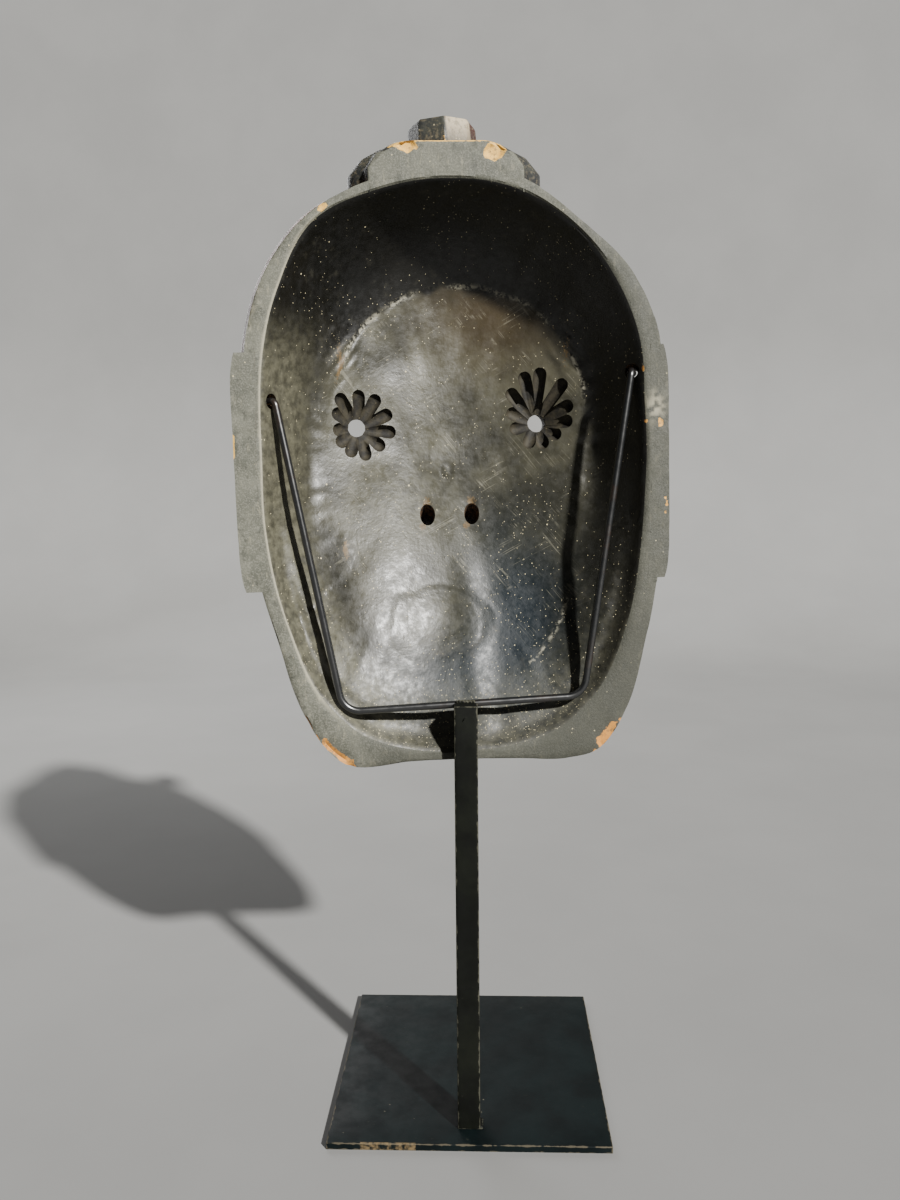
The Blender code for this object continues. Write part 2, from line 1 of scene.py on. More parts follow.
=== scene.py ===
"""The looks of a carved tengu mask, seen hollow side first, on its steel display stand.

The mask is one block of wood: the shell, the nose, the ears and the cap are carved together,
so they are one piece here. It is shaped in the mask's own frame, with the flat rim in the
plane y = 0, the face towards -y and z up, and is then set in its pose on the stand.
Lengths are in metres and angles in degrees.
"""

import math

import bmesh
import bpy
import numpy as np
from mathutils import Matrix, Vector


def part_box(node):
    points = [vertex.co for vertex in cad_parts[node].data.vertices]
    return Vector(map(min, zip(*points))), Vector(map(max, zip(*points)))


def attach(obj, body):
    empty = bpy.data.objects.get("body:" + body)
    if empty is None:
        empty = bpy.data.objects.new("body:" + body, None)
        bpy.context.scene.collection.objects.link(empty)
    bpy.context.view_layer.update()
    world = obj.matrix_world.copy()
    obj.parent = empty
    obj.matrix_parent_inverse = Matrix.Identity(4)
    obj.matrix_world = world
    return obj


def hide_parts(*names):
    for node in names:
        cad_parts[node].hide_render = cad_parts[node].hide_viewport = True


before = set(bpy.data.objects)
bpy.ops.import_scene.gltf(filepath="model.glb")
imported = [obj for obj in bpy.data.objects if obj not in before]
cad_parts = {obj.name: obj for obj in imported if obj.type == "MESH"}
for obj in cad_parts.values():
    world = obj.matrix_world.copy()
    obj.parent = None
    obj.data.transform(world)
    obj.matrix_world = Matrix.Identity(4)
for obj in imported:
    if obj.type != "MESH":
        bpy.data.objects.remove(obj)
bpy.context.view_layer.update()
ROOT = "root"

# Sizes read from the solids
PLATE_LOW, PLATE_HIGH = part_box("base_plate")
POST_LOW, POST_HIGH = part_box("post")

# Pose of the mask on the stand
MASK_YAW = 6.3
MASK_ROLL = 1.2
MASK_PLACE = Vector((0.0060, 0.0712, 0.4803))
RIM_BEHIND_POST = 0.0008

# Gap at each touch, step of the ears' and the cap's backs below the rim plane, and the
# longest edge that is left on those backs
GAP = 0.0003
FLUSH = 0.0001
BACK_GRAIN = 0.0022

# Rim of the mask: angle from +x, outer radius, inner radius
RIM = (
    (0, 0.139, 0.1280),
    (15, 0.142, 0.1320),
    (30, 0.156, 0.1430),
    (45, 0.171, 0.1585),
    (60, 0.182, 0.1765),
    (75, 0.185, 0.1785),
    (90, 0.187, 0.1795),
    (105, 0.186, 0.1785),
    (120, 0.176, 0.1710),
    (135, 0.171, 0.1590),
    (150, 0.161, 0.1470),
    (165, 0.146, 0.1345),
    (180, 0.141, 0.1313),
    (195, 0.146, 0.1340),
    (210, 0.160, 0.1450),
    (225, 0.183, 0.1650),
    (238, 0.214, 0.1870),
    (245, 0.2265, 0.1960),
    (251, 0.2235, 0.2015),
    (260, 0.213, 0.2030),
    (270, 0.2085, 0.2025),
    (280, 0.2115, 0.2030),
    (290, 0.2235, 0.2005),
    (295, 0.2195, 0.1950),
    (302, 0.204, 0.1850),
    (315, 0.174, 0.1620),
    (330, 0.155, 0.1440),
    (345, 0.143, 0.1330),
)

# Depths, measured forward from the rim plane
FLOOR_DEPTH = 0.068
FACE_DEPTH = 0.106
FACE_POWER = 2.2

# Depth of the hollow: share of the way from its centre to the rim, and the depths there
# along rays at these angles from +x
HOLLOW_SHARES = (0.0, 0.35, 0.55, 0.70, 0.80, 0.90, 0.96, 1.0)
HOLLOW = (
    (0, 0.068, 0.0625, 0.0535, 0.0460, 0.0400, 0.0195, 0.0085, 0.0),
    (45, 0.068, 0.0670, 0.0600, 0.0500, 0.0385, 0.0205, 0.0090, 0.0),
    (90, 0.068, 0.0720, 0.0720, 0.0665, 0.0560, 0.0350, 0.0160, 0.0),
    (135, 0.068, 0.0670, 0.0600, 0.0500, 0.0385, 0.0205, 0.0090, 0.0),
    (180, 0.068, 0.0625, 0.0535, 0.0460, 0.0415, 0.0220, 0.0095, 0.0),
    (225, 0.068, 0.0610, 0.0500, 0.0385, 0.0270, 0.0140, 0.0098, 0.0),
    (270, 0.068, 0.0600, 0.0470, 0.0340, 0.0245, 0.0160, 0.0100, 0.0),
    (315, 0.068, 0.0610, 0.0490, 0.0360, 0.0240, 0.0125, 0.0098, 0.0),
)
HOLLOW_LEAN = 0.017
MOUTH_DENT = 0.004
CHIN_RIDGE = 0.002

# Face
EYE_X = 0.0652
EYE_Z = 0.0237
EYE_BALL = (EYE_X, EYE_Z, 0.027, 0.0165)
EYE_HOLE = 0.0047
EYE_FLARE = 0.0105
EYE_HOLE_SPREAD = 1.06
EYE_HOLE_RISE = 0.003
EYE_HOLE_PAST = 0.030
NOSTRIL_X = 0.0163
NOSTRIL_Z = -0.0440
NOSTRIL_WIDTH = 0.0115
NOSTRIL_HEIGHT = 0.0155
NOSTRIL_TAPER = 0.9
NOSTRIL_SPREAD = 1.05
NOSTRIL_RISE = 0.012
NOSTRIL_DROP = 0.034
NOSTRIL_START = 0.020
NOSTRIL_PAST = 0.040
NOSE_Z = -0.020
NOSE_LENGTH = 0.150
NOSE_INSET = 0.014
NOSE_ROOT = 0.026
NOSE_TIP = 0.020
NOSE_RISE = 4.0
NOSE_ARCH = 0.008
MOUTH_Z = -0.110

# Gouge cuts round the eye holes: direction from the hole and reach of the cut's round end
PETALS_LEFT = (
    (38, 0.0219),
    (62, 0.0283),
    (94, 0.0279),
    (123, 0.0290),
    (155, 0.0280),
    (186, 0.0280),
    (218, 0.0241),
    (255, 0.0237),
    (288, 0.0215),
    (322, 0.0194),
    (357, 0.0179),
)
PETALS_RIGHT = (
    (27, 0.0235),
    (53, 0.0329),
    (77, 0.0392),
    (95, 0.0407),
    (123, 0.0371),
    (151, 0.0287),
    (177, 0.0250),
    (212, 0.0194),
    (255, 0.0189),
    (294, 0.0189),
    (350, 0.0197),
)
GOUGE = 0.0049
GOUGE_ROOT = 0.0042
FUNNEL_DEEP = 0.0050

# Swelling of the outside behind the rim, at the upper left
SWELL = 0.0045
SWELL_TOWARDS = 42

# Ears, in the rim plane
EAR_OUT = 0.1465
EAR_TOP = 0.071
EAR_BOTTOM = -0.0865
EAR_DEPTH = 0.046
EAR_BOWL = 0.009
EAR_ROOT = 0.007
EAR_FRONT = 1.3
EAR_BACK = 1.05
EAR_ENDS = 2.6

# Cap on the forehead: a low pleated drum with an eight-sided knob
CAP_SIDES = 12
CAP_CENTRE = 0.030
CAP_TOP_Z = 0.2025
CAP_TOP = (0.045, 0.036)
CAP_SHOULDER = (0.058, 0.041)
CAP_FOOT = (0.066, 0.046)
CAP_LEAN = 0.25
CAP_SUNK = 0.004
CAP_PLEAT = 0.05
KNOB_SIDES = 8
KNOB_RADIUS = 0.0250
KNOB_TOP_RADIUS = 0.0225
KNOB_TOP_Z = 0.2215
KNOB_BEVEL = 0.003
KNOB_SUNK = 0.009

# Cord holes in the side walls, which the rod's ends hook into
HOOK_LEFT = Vector((0.1185, -0.0075, 0.0400))
HOOK_RIGHT = Vector((-0.1225, -0.0065, 0.0545))
HOLE_LEFT = Vector((0.80, -0.60, 0.0)).normalized()
HOLE_RIGHT = Vector((-0.30, -0.95, 0.0)).normalized()
CORD_HOLE = 0.0038
CORD_MOUTH = 0.0052
HOOK_LENGTH = 0.017
ROD_CORNER_LEFT = (0.0818, -0.1713)
ROD_CORNER_RIGHT = (-0.0853, -0.1678)
ROD_RADIUS = 0.0025
ROD_BEND = 0.014
ROD_HOOK_BEND = 0.004

# Chips on the rim that bare the wood: x, z, half length, half width, direction, depth
CHIPS = (
    (0.0270, 0.2000, 0.0080, 0.0045, 15, 0.0020),
    (-0.0330, 0.1965, 0.0085, 0.0060, -25, 0.0024),
    (-0.0060, 0.2027, 0.0280, 0.0009, 0, 0.0005),
    (0.0815, 0.1615, 0.0036, 0.0022, -35, 0.0010),
    (0.1068, -0.1775, 0.0062, 0.0018, 60, 0.0016),
    (0.0880, -0.1995, 0.0165, 0.0027, 43, 0.0026),
    (-0.1012, -0.1965, 0.0138, 0.0023, 130, 0.0022),
    (-0.1290, 0.0545, 0.0026, 0.0007, 90, 0.0005),
    (-0.1310, 0.0200, 0.0015, 0.0010, 40, 0.0004),
    (-0.1405, 0.0190, 0.0028, 0.0015, 80, 0.0005),
    (0.1462, 0.0100, 0.0085, 0.0010, 90, 0.0008),
    (-0.1442, -0.0250, 0.0300, 0.0006, 90, 0.0003),
)

# Ovals on the hollow: centre x and z, half width and half height of the arc where the gouges
# stopped, of the dent behind the mouth and of the plug between the eyes
SCAR = (-0.008, 0.030, 0.091, 0.094)
BEHIND_MOUTH = (0.012, -0.118, 0.039, 0.027)
PEG = (0.0015, -0.0077, 0.0038, 0.0055)

# Torn grain above each nostril, and the chipped place on the left wall: x, z
TORN_Z = -0.033
WALL_CHIP = (0.077, -0.062)

# Colour on the knob: above this height, and where the pale part, a painted highlight on one facet, and the
# red part start
KNOB_PAINT_Z = 0.2030
KNOB_PALE = (0.0002, 0.0006)
KNOB_RED = (0.0168, 0.0176)

# Mesh density of the carving
CELLS_X, CELLS_Z = ((172, 232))
RIM_ROWS = (0.05, 0.16, 0.42, 0.70, 0.90)
HOLE_SIDES = 24
CORD_SIDES = 20
GOUGE_SIDES = 18

# Places of the mask's finishes in its list of materials
INNER_FINISH, RIM_FINISH, FACE_FINISH, CAP_FINISH, WOOD_FINISH, CUT_FINISH = range(6)

# Camera, solved from the plate's corners and the post
CAMERA_PLACE = (-0.0134, 0.7210, 0.4570)
CAMERA_YAW = 2.09
CAMERA_PITCH = -6.45
CAMERA_ROLL = 0.57
FOCAL_PIXELS = 960
FRAME_HEIGHT = 1200
SENSOR = 36.0

# Kinds of node that most of the finishes use
NOISE = "ShaderNodeTexNoise"
RANGE = "ShaderNodeMapRange"
MATH = "ShaderNodeMath"
MIX = "ShaderNodeMix"
MARK = "ShaderNodeAttribute"
BUMP = "ShaderNodeBump"
MAPPING = "ShaderNodeMapping"

# Dust on the plate's front edge: from x to x, and in front of this y
DUSTY_EDGE = (0.037, 0.076, 0.0985)

# Key light: direction that it comes from, round from +Y towards -X, and its height
KEY_AROUND = 38.0
KEY_HEIGHT = 32.0


def mask_pose():
    """Matrix from the mask's own frame to its place on the stand."""
    turn = Matrix.Rotation(math.radians(MASK_YAW), 4, "Z")
    roll = Matrix.Rotation(math.radians(MASK_ROLL), 4, "Y")
    return Matrix.Translation(MASK_PLACE) @ (turn @ roll)


def deselect():
    if bpy.context.mode != "OBJECT":
        bpy.ops.object.mode_set(mode="OBJECT")
    bpy.ops.object.select_all(action="DESELECT")


def activate(obj):
    deselect()
    obj.select_set(True)
    bpy.context.view_layer.objects.active = obj


def edit_all(obj):
    """Enters edit mode with all of the object selected."""
    activate(obj)
    bpy.ops.object.mode_set(mode="EDIT")
    bpy.ops.mesh.select_all(action="SELECT")


def apply_modifiers(obj):
    activate(obj)
    for modifier in list(obj.modifiers):
        bpy.ops.object.modifier_apply(modifier=modifier.name)


def colour(hex_code):
    """sRGB hex to linear RGBA."""
    values = [int(hex_code[i : i + 2], 16) / 255 for i in (1, 3, 5)]
    linear = [v / 12.92 if v <= 0.04045 else ((v + 0.055) / 1.055) ** 2.4 for v in values]
    return (*linear, 1.0)


def add_node(tree, kind, links=None, output=0, **settings):
    """Adds a node with its settings; links gives its inputs, as values or other nodes' outputs."""
    made = tree.nodes.new(kind)
    for name, value in settings.items():
        setattr(made, name, value)
    for name, value in (links or {}).items():
        if isinstance(value, bpy.types.NodeSocket):
            tree.links.new(value, made.inputs[name])
        else:
            made.inputs[name].default_value = value
    return made.outputs[output]


def new_material(name):
    made = bpy.data.materials.new(name)
    made.use_nodes = True
    return made, made.node_tree, made.node_tree.nodes["Principled BSDF"]


def per_mm(size):
    """Noise scale for a pattern of this many millimetres."""
    return 1000.0 / size


def mask_coordinates(tree):
    """Object coordinates turned into the mask's own frame."""
    place = add_node(tree, "ShaderNodeTexCoord", output="Object")
    turn = (0.0, math.radians(MASK_ROLL), math.radians(MASK_YAW))
    frame_of_mask = {"Vector": place, "Location": MASK_PLACE, "Rotation": turn}
    return add_node(tree, MAPPING, frame_of_mask, vector_type="TEXTURE")


def patches(tree, at, size, low, high, most=1.0):
    """Irregular patches of about this size in mm, fading in from low to high."""
    cloud = add_node(tree, NOISE, {"Vector": at, "Scale": per_mm(size), "Detail": 5.0, "Roughness": 0.62})
    limits = {"Value": cloud, "From Min": low, "From Max": high, "To Max": most}
    return add_node(tree, RANGE, limits, interpolation_type="SMOOTHSTEP")


def marked(tree, name, base, tone):
    """Lays a tone over the base where the mesh carries this mark."""
    share = add_node(tree, MARK, output="Fac", attribute_name=name)
    return add_node(tree, MIX, {0: share, 6: base, 7: colour(tone)}, 2, data_type="RGBA")


def specks(tree, at, spacing, smallest, largest, share):
    """Small round dots of mixed size in mm: one in some of the cells."""
    pattern = {"Vector": at, "Scale": per_mm(spacing), "Randomness": 1.0}
    cells = add_node(tree, "ShaderNodeTexVoronoi", pattern)
    draw = add_node(tree, "ShaderNodeSeparateColor", {"Color": cells.node.outputs["Color"]})
    limits = {"Value": draw, "To Min": smallest / spacing, "To Max": largest / spacing}
    size = add_node(tree, RANGE, limits)
    dot = add_node(tree, MATH, {0: cells, 1: size}, operation="LESS_THAN")
    chosen = add_node(tree, MATH, {0: draw.node.outputs["Green"], 1: share}, operation="LESS_THAN")
    return add_node(tree, MATH, {0: dot, 1: chosen}, operation="MULTIPLY")


def scratches(tree, at, turn, spacing, share):
    """Hair-thin lines in one direction of the X-Z plane, drawn in patches of it only."""
    limits = {"Vector": at, "Rotation": (0, turn, 0), "Scale": (1.0, 40.0, 45.0)}
    along = add_node(tree, MAPPING, limits, vector_type="TEXTURE")
    wave = add_node(tree, NOISE, {"Vector": along, "Scale": per_mm(spacing), "Detail": 1.0})
    from_middle = add_node(tree, MATH, {0: wave, 1: 0.5}, operation="SUBTRACT")
    from_middle = add_node(tree, MATH, {0: from_middle}, operation="ABSOLUTE")
    line = add_node(tree, RANGE, {"Value": from_middle, "From Max": 0.030, "To Min": 1.0, "To Max": 0.0})
    chosen = patches(tree, at, 7 * spacing, 1 - share, 1.10 - share)
    return add_node(tree, MATH, {0: line, 1: chosen}, operation="MULTIPLY")


def broken_to_wood(tree, at, base, early, late):
    """Bares fibrous wood with a torn border wherever the mesh is marked as bare."""
    torn = add_node(tree, NOISE, {"Vector": at, "Scale": per_mm(1.9), "Detail": 5.0, "Roughness": 0.72})
    share = add_node(tree, MARK, output="Fac", attribute_name="bare")
    share = add_node(tree, MATH, {0: torn, 1: 0.95, 2: share}, operation="MULTIPLY_ADD")
    limits = {"Value": share, "From Min": 0.84, "From Max": 0.96}
    share = add_node(tree, RANGE, limits, interpolation_type="SMOOTHSTEP")
    along = add_node(tree, MAPPING, {"Vector": at, "Scale": (1.0, 1.0, 0.12)})
    fibre = add_node(tree, NOISE, {"Vector": along, "Scale": per_mm(1.4), "Detail": 4.0})
    wood = add_node(tree, MIX, {0: fibre, 6: colour(early), 7: colour(late)}, 2, data_type="RGBA")
    wood = marked(tree, "orange", wood, "#a05d16")
    dirt = patches(tree, at, 2.6, 0.50, 0.66, 0.75)
    wood = add_node(tree, MIX, {0: dirt, 6: wood, 7: colour("#5a4a34")}, 2, data_type="RGBA")
    return add_node(tree, MIX, {0: share, 6: base, 7: wood}, 2, data_type="RGBA")


def inner_lacquer():
    """Black urushi brushed thin over gouged wood: cloudy half gloss, pale dust caught low down, painted
    shade on the walls, the top, low down and in the creases, and painted highlights on the floor.
    """
    made, tree, shader = new_material("black_urushi_inside")
    at = mask_coordinates(tree)
    cloud = patches(tree, at, 45, 0.35, 0.65)
    base = add_node(tree, MIX, {0: cloud, 6: colour("#070705"), 7: colour("#0e0d09")}, 2, data_type="RGBA")
    # Lighter dusty film on the floor; where it is missing, on the walls, the top and low down, the
    # near-black base stands as painted shade
    film_and_shade = add_node(tree, MIX, {0: cloud, 6: colour("#2b2a22"), 7: colour("#49473a")}, 2, data_type="RGBA")
    film_and_shade = marked(tree, "warm", film_and_shade, "#40331f")
    share = add_node(tree, MARK, output="Fac", attribute_name="film_and_shade")
    base = add_node(tree, MIX, {0: share, 6: base, 7: film_and_shade}, 2, data_type="RGBA")
    # Blue-black patch low towards -x and along the chin: a blue tint with painted shade
    base = marked(tree, "blue_tint_and_shade", base, "#07131a")
    # Dark tone in the crease lines round the mouth as painted shade, also in the pits above the nostrils
    # and the joint round the plug
    base = marked(tree, "crease_shade_and_pits", base, "#15140e")
    # Pale haze on the walls and low down, with painted highlights on the floor beside the nose and over
    # the dent behind the mouth
    haze_and_highlight = add_node(tree, MARK, output="Fac", attribute_name="haze_and_highlight")
    mottle = patches(tree, at, 6, 0.30, 0.70)
    mottle = add_node(tree, RANGE, {"Value": mottle, "To Min": 0.35})
    haze_and_highlight = add_node(tree, MATH, {0: haze_and_highlight, 1: mottle}, operation="MULTIPLY")
    base = add_node(tree, MIX, {0: haze_and_highlight, 6: base, 7: colour("#545244")}, 2, data_type="RGBA")
    worn = patches(tree, at, 8, 0.56, 0.74, 0.4)
    base = add_node(tree, MIX, {0: worn, 6: base, 7: colour("#35332a")}, 2, data_type="RGBA")

    first = scratches(tree, at, math.radians(38), 3.0, 0.46)
    second = scratches(tree, at, math.radians(-62), 4.4, 0.44)
    lines = add_node(tree, MATH, {0: first, 1: second}, operation="MAXIMUM")
    scored = add_node(tree, MARK, output="Fac", attribute_name="scored")
    broken = patches(tree, at, 3, 0.44, 0.56)
    scored = add_node(tree, MATH, {0: scored, 1: broken}, operation="MULTIPLY")
    lines = add_node(tree, MATH, {0: lines, 1: share}, operation="MULTIPLY")
    lines = add_node(tree, MATH, {0: lines, 1: 0.4}, operation="MULTIPLY")
    lines = add_node(tree, MATH, {0: lines, 1: scored}, operation="MAXIMUM")
    base = add_node(tree, MIX, {0: lines, 6: base, 7: colour("#949080")}, 2, data_type="RGBA")

    # Dust is drawn a little coarser than real, so that a grain still shows from a step away
    dusty = add_node(tree, MARK, output="Fac", attribute_name="dust")
    share = add_node(tree, MATH, {0: dusty, 1: 0.36}, operation="MULTIPLY")
    fine = specks(tree, at, 1.6, 0.12, 0.36, share)
    share = add_node(tree, MATH, {0: dusty, 1: 0.10}, operation="MULTIPLY")
    coarse = specks(tree, at, 5.0, 0.30, 0.75, share)
    grit = patches(tree, at, 1.6, 0.60, 0.70)
    grime = add_node(tree, MARK, output="Fac", attribute_name="grime")
    grit = add_node(tree, MATH, {0: grit, 1: grime}, operation="MULTIPLY")
    dots = add_node(tree, MATH, {0: fine, 1: coarse}, operation="MAXIMUM")
    dots = add_node(tree, MATH, {0: dots, 1: grit}, operation="MAXIMUM")
    share = add_node(tree, MATH, {0: dots, 1: 0.8}, operation="MULTIPLY")
    base = add_node(tree, MIX, {0: share, 6: base, 7: colour("#c3b896")}, 2, data_type="RGBA")
    base = broken_to_wood(tree, at, base, "#33291b", "#6a5634")
    tree.links.new(base, shader.inputs["Base Color"])

    brushed = patches(tree, at, 5, 0.30, 0.70)
    rough = add_node(tree, RANGE, {"Value": brushed, "To Min": 0.31, "To Max": 0.52})
    dull = add_node(tree, MARK, output="Fac", attribute_name="blue_tint_and_shade")
    rough = add_node(tree, MATH, {0: dull, 1: 0.10, 2: rough}, operation="MULTIPLY_ADD")
    rough = add_node(tree, MATH, {0: dots, 1: 0.3, 2: rough}, operation="MULTIPLY_ADD")
    rough = add_node(tree, MATH, {0: grime, 1: 0.2, 2: rough}, operation="MULTIPLY_ADD")
    tree.links.new(rough, shader.inputs["Roughness"])
    soft = add_node(tree, NOISE, {"Vector": at, "Scale": per_mm(16), "Detail": 2.0, "Roughness": 0.4})
    skin = add_node(tree, NOISE, {"Vector": at, "Scale": per_mm(3.0), "Detail": 4.0, "Roughness": 0.6})
    normal = add_node(tree, BUMP, {"Height": soft, "Distance": 0.0005})
    normal = add_node(tree, BUMP, {"Height": skin, "Distance": 0.00022, "Normal": normal})
    tree.links.new(normal, shader.inputs["Normal"])
    shader.inputs["Specular IOR Level"].default_value = 0.46
    shader.inputs["IOR"].default_value = 1.54
    return made


def cut_lacquer():
    """The same black in the gouge cuts, never rubbed down: matte, brown with dust on their lands."""
    made, tree, shader = new_material("matte_urushi_in_gouge_cuts")
    at = mask_coordinates(tree)
    cloud = patches(tree, at, 7, 0.36, 0.64)
    base = add_node(tree, MIX, {0: cloud, 6: colour("#14120e"), 7: colour("#2e2a1f")}, 2, data_type="RGBA")
    dots = specks(tree, at, 2.2, 0.20, 0.42, 0.16)
    share = add_node(tree, MATH, {0: dots, 1: 0.6}, operation="MULTIPLY")
    base = add_node(tree, MIX, {0: share, 6: base, 7: colour("#6f6750")}, 2, data_type="RGBA")
    tree.links.new(base, shader.inputs["Base Color"])
    skin = add_node(tree, NOISE, {"Vector": at, "Scale": per_mm(1.6), "Detail": 4.0, "Roughness": 0.6})
    normal = add_node(tree, BUMP, {"Height": skin, "Distance": 0.0002})
    tree.links.new(normal, shader.inputs["Normal"])
    shader.inputs["Roughness"].default_value = 0.72
    shader.inputs["Specular IOR Level"].default_value = 0.3
    return made


def rim_lacquer():
    """The sawn end of the block under dull thin lacquer: chalky grey-green, scuffed, dust in its pores."""
    made, tree, shader = new_material("dull_lacquer_on_sawn_wood")
    at = mask_coordinates(tree)
    cloud = patches(tree, at, 22, 0.32, 0.68)
    base = add_node(tree, MIX, {0: cloud, 6: colour("#424339"), 7: colour("#5c5c51")}, 2, data_type="RGBA")
    pores = patches(tree, at, 1.0, 0.46, 0.64, 0.42)
    base = add_node(tree, MIX, {0: pores, 6: base, 7: colour("#807e73")}, 2, data_type="RGBA")
    along = add_node(tree, MAPPING, {"Vector": at, "Scale": (1.0, 1.0, 0.25)})
    scuffs = patches(tree, along, 3, 0.56, 0.70, 0.4)
    base = add_node(tree, MIX, {0: scuffs, 6: base, 7: colour("#8b8672")}, 2, data_type="RGBA")
    # Darker towards -x and towards the bottom of the rim
    base = marked(tree, "rim_darkening", base, "#23241c")
    stains = patches(tree, at, 7, 0.56, 0.66, 0.6)
    base = add_node(tree, MIX, {0: stains, 6: base, 7: colour("#33342c")}, 2, data_type="RGBA")
    # Pale along the inner edge on the +x side as a painted highlight, and at two scuffs as rubbed wear
    base = marked(tree, "rubbed", base, "#b3ac94")
    dots = specks(tree, at, 4.0, 0.28, 0.65, 0.25)
    share = add_node(tree, MATH, {0: dots, 1: 0.6}, operation="MULTIPLY")
    base = add_node(tree, MIX, {0: share, 6: base, 7: colour("#bdb28f")}, 2, data_type="RGBA")
    base = broken_to_wood(tree, at, base, "#bd8a38", "#e0ba62")
    tree.links.new(base, shader.inputs["Base Color"])
    rough = add_node(tree, RANGE, {"Value": cloud, "To Min": 0.64, "To Max": 0.82})
    tree.links.new(rough, shader.inputs["Roughness"])
    tooth = add_node(tree, NOISE, {"Vector": at, "Scale": per_mm(1.3), "Detail": 5.0, "Roughness": 0.7})
    normal = add_node(tree, BUMP, {"Height": tooth, "Distance": 0.0003})
    tree.links.new(normal, shader.inputs["Normal"])
    return made


def face_lacquer():
    """Vermilion urushi gone red-brown on the face: dark in the cuts, rubbed thin on what stands out."""
    made, tree, shader = new_material("aged_vermilion_urushi")
    at = mask_coordinates(tree)
    cloud = patches(tree, at, 30, 0.35, 0.65)
    base = add_node(tree, MIX, {0: cloud, 6: colour("#521b12"), 7: colour("#742718")}, 2, data_type="RGBA")
    stains = patches(tree, at, 6, 0.52, 0.70, 0.7)
    base = add_node(tree, MIX, {0: stains, 6: base, 7: colour("#35150e")}, 2, data_type="RGBA")
    base = marked(tree, "hair", base, "#15110d")
    base = marked(tree, "hollowed", base, "#1c100b")
    proud = add_node(tree, MARK, output="Fac", attribute_name="proud")
    rubbed = patches(tree, at, 3.5, 0.50, 0.62, 0.7)
    rubbed = add_node(tree, MATH, {0: rubbed, 1: proud}, operation="MULTIPLY")
    base = add_node(tree, MIX, {0: rubbed, 6: base, 7: colour("#94542f")}, 2, data_type="RGBA")
    base = marked(tree, "gold", base, "#a07c36")
    dots = specks(tree, at, 4.5, 0.22, 0.50, 0.14)
    share = add_node(tree, MATH, {0: dots, 1: 0.5}, operation="MULTIPLY")
    base = add_node(tree, MIX, {0: share, 6: base, 7: colour("#a89d80")}, 2, data_type="RGBA")
    base = broken_to_wood(tree, at, base, "#c8935a", "#dfb67c")
    tree.links.new(base, shader.inputs["Base Color"])
    skin = patches(tree, at, 3.0, 0.30, 0.70)
    rough = add_node(tree, RANGE, {"Value": skin, "To Min": 0.40, "To Max": 0.55})
    tree.links.new(rough, shader.inputs["Roughness"])
    normal = add_node(tree, BUMP, {"Height": skin, "Distance": 0.00012})
    tree.links.new(normal, shader.inputs["Normal"])
    shader.inputs["Specular IOR Level"].default_value = 0.30
    return made


def cap_lacquer():
    """Black urushi on the cap: cold half gloss, brown and pale where hands and dust have dulled it, and
    one knob facet painted pale as a highlight.
    """
    made, tree, shader = new_material("black_urushi_cap")
    at = mask_coordinates(tree)
    cloud = patches(tree, at, 14, 0.35, 0.65)
    base = add_node(tree, MIX, {0: cloud, 6: colour("#202124"), 7: colour("#33342f")}, 2, data_type="RGBA")
    # One facet of the knob painted pale: a painted highlight
    base = marked(tree, "pale", base, "#aa9c84")
    base = marked(tree, "red", base, "#3c1c16")
    rubbed = patches(tree, at, 2.4, 0.48, 0.66, 0.65)
    base = add_node(tree, MIX, {0: rubbed, 6: base, 7: colour("#5e5747")}, 2, data_type="RGBA")
    dots = specks(tree, at, 3.4, 0.25, 0.60, 0.3)
    share = add_node(tree, MATH, {0: dots, 1: 0.6}, operation="MULTIPLY")
    base = add_node(tree, MIX, {0: share, 6: base, 7: colour("#a89d80")}, 2, data_type="RGBA")
    base = broken_to_wood(tree, at, base, "#bd8a38", "#e0ba62")
    tree.links.new(base, shader.inputs["Base Color"])
    skin = patches(tree, at, 2.0, 0.30, 0.70)
    rough = add_node(tree, RANGE, {"Value": skin, "To Min": 0.42, "To Max": 0.60})
    tree.links.new(rough, shader.inputs["Roughness"])
    normal = add_node(tree, BUMP, {"Height": skin, "Distance": 0.0001})
    tree.links.new(normal, shader.inputs["Normal"])
    shader.inputs["Specular IOR Level"].default_value = 0.30
    return made


def raw_wood():
    """Bare softwood in the pierced holes: soft brown grain, sooty where fingers and cords have been."""
    made, tree, shader = new_material("raw_softwood")
    at = mask_coordinates(tree)
    along = add_node(tree, MAPPING, {"Vector": at, "Scale": (1.0, 1.0, 0.15)})
    grain = add_node(tree, NOISE, {"Vector": along, "Scale": per_mm(1.2), "Detail": 4.0})
    base = add_node(tree, MIX, {0: grain, 6: colour("#2f2216"), 7: colour("#7a5a36")}, 2, data_type="RGBA")
    soot = patches(tree, at, 2.6, 0.42, 0.56)
    base = add_node(tree, MIX, {0: soot, 6: base, 7: colour("#0d0a07")}, 2, data_type="RGBA")
    tree.links.new(base, shader.inputs["Base Color"])
    normal = add_node(tree, BUMP, {"Height": grain, "Distance": 0.0003})
    tree.links.new(normal, shader.inputs["Normal"])
    shader.inputs["Roughness"].default_value = 0.80
    return made


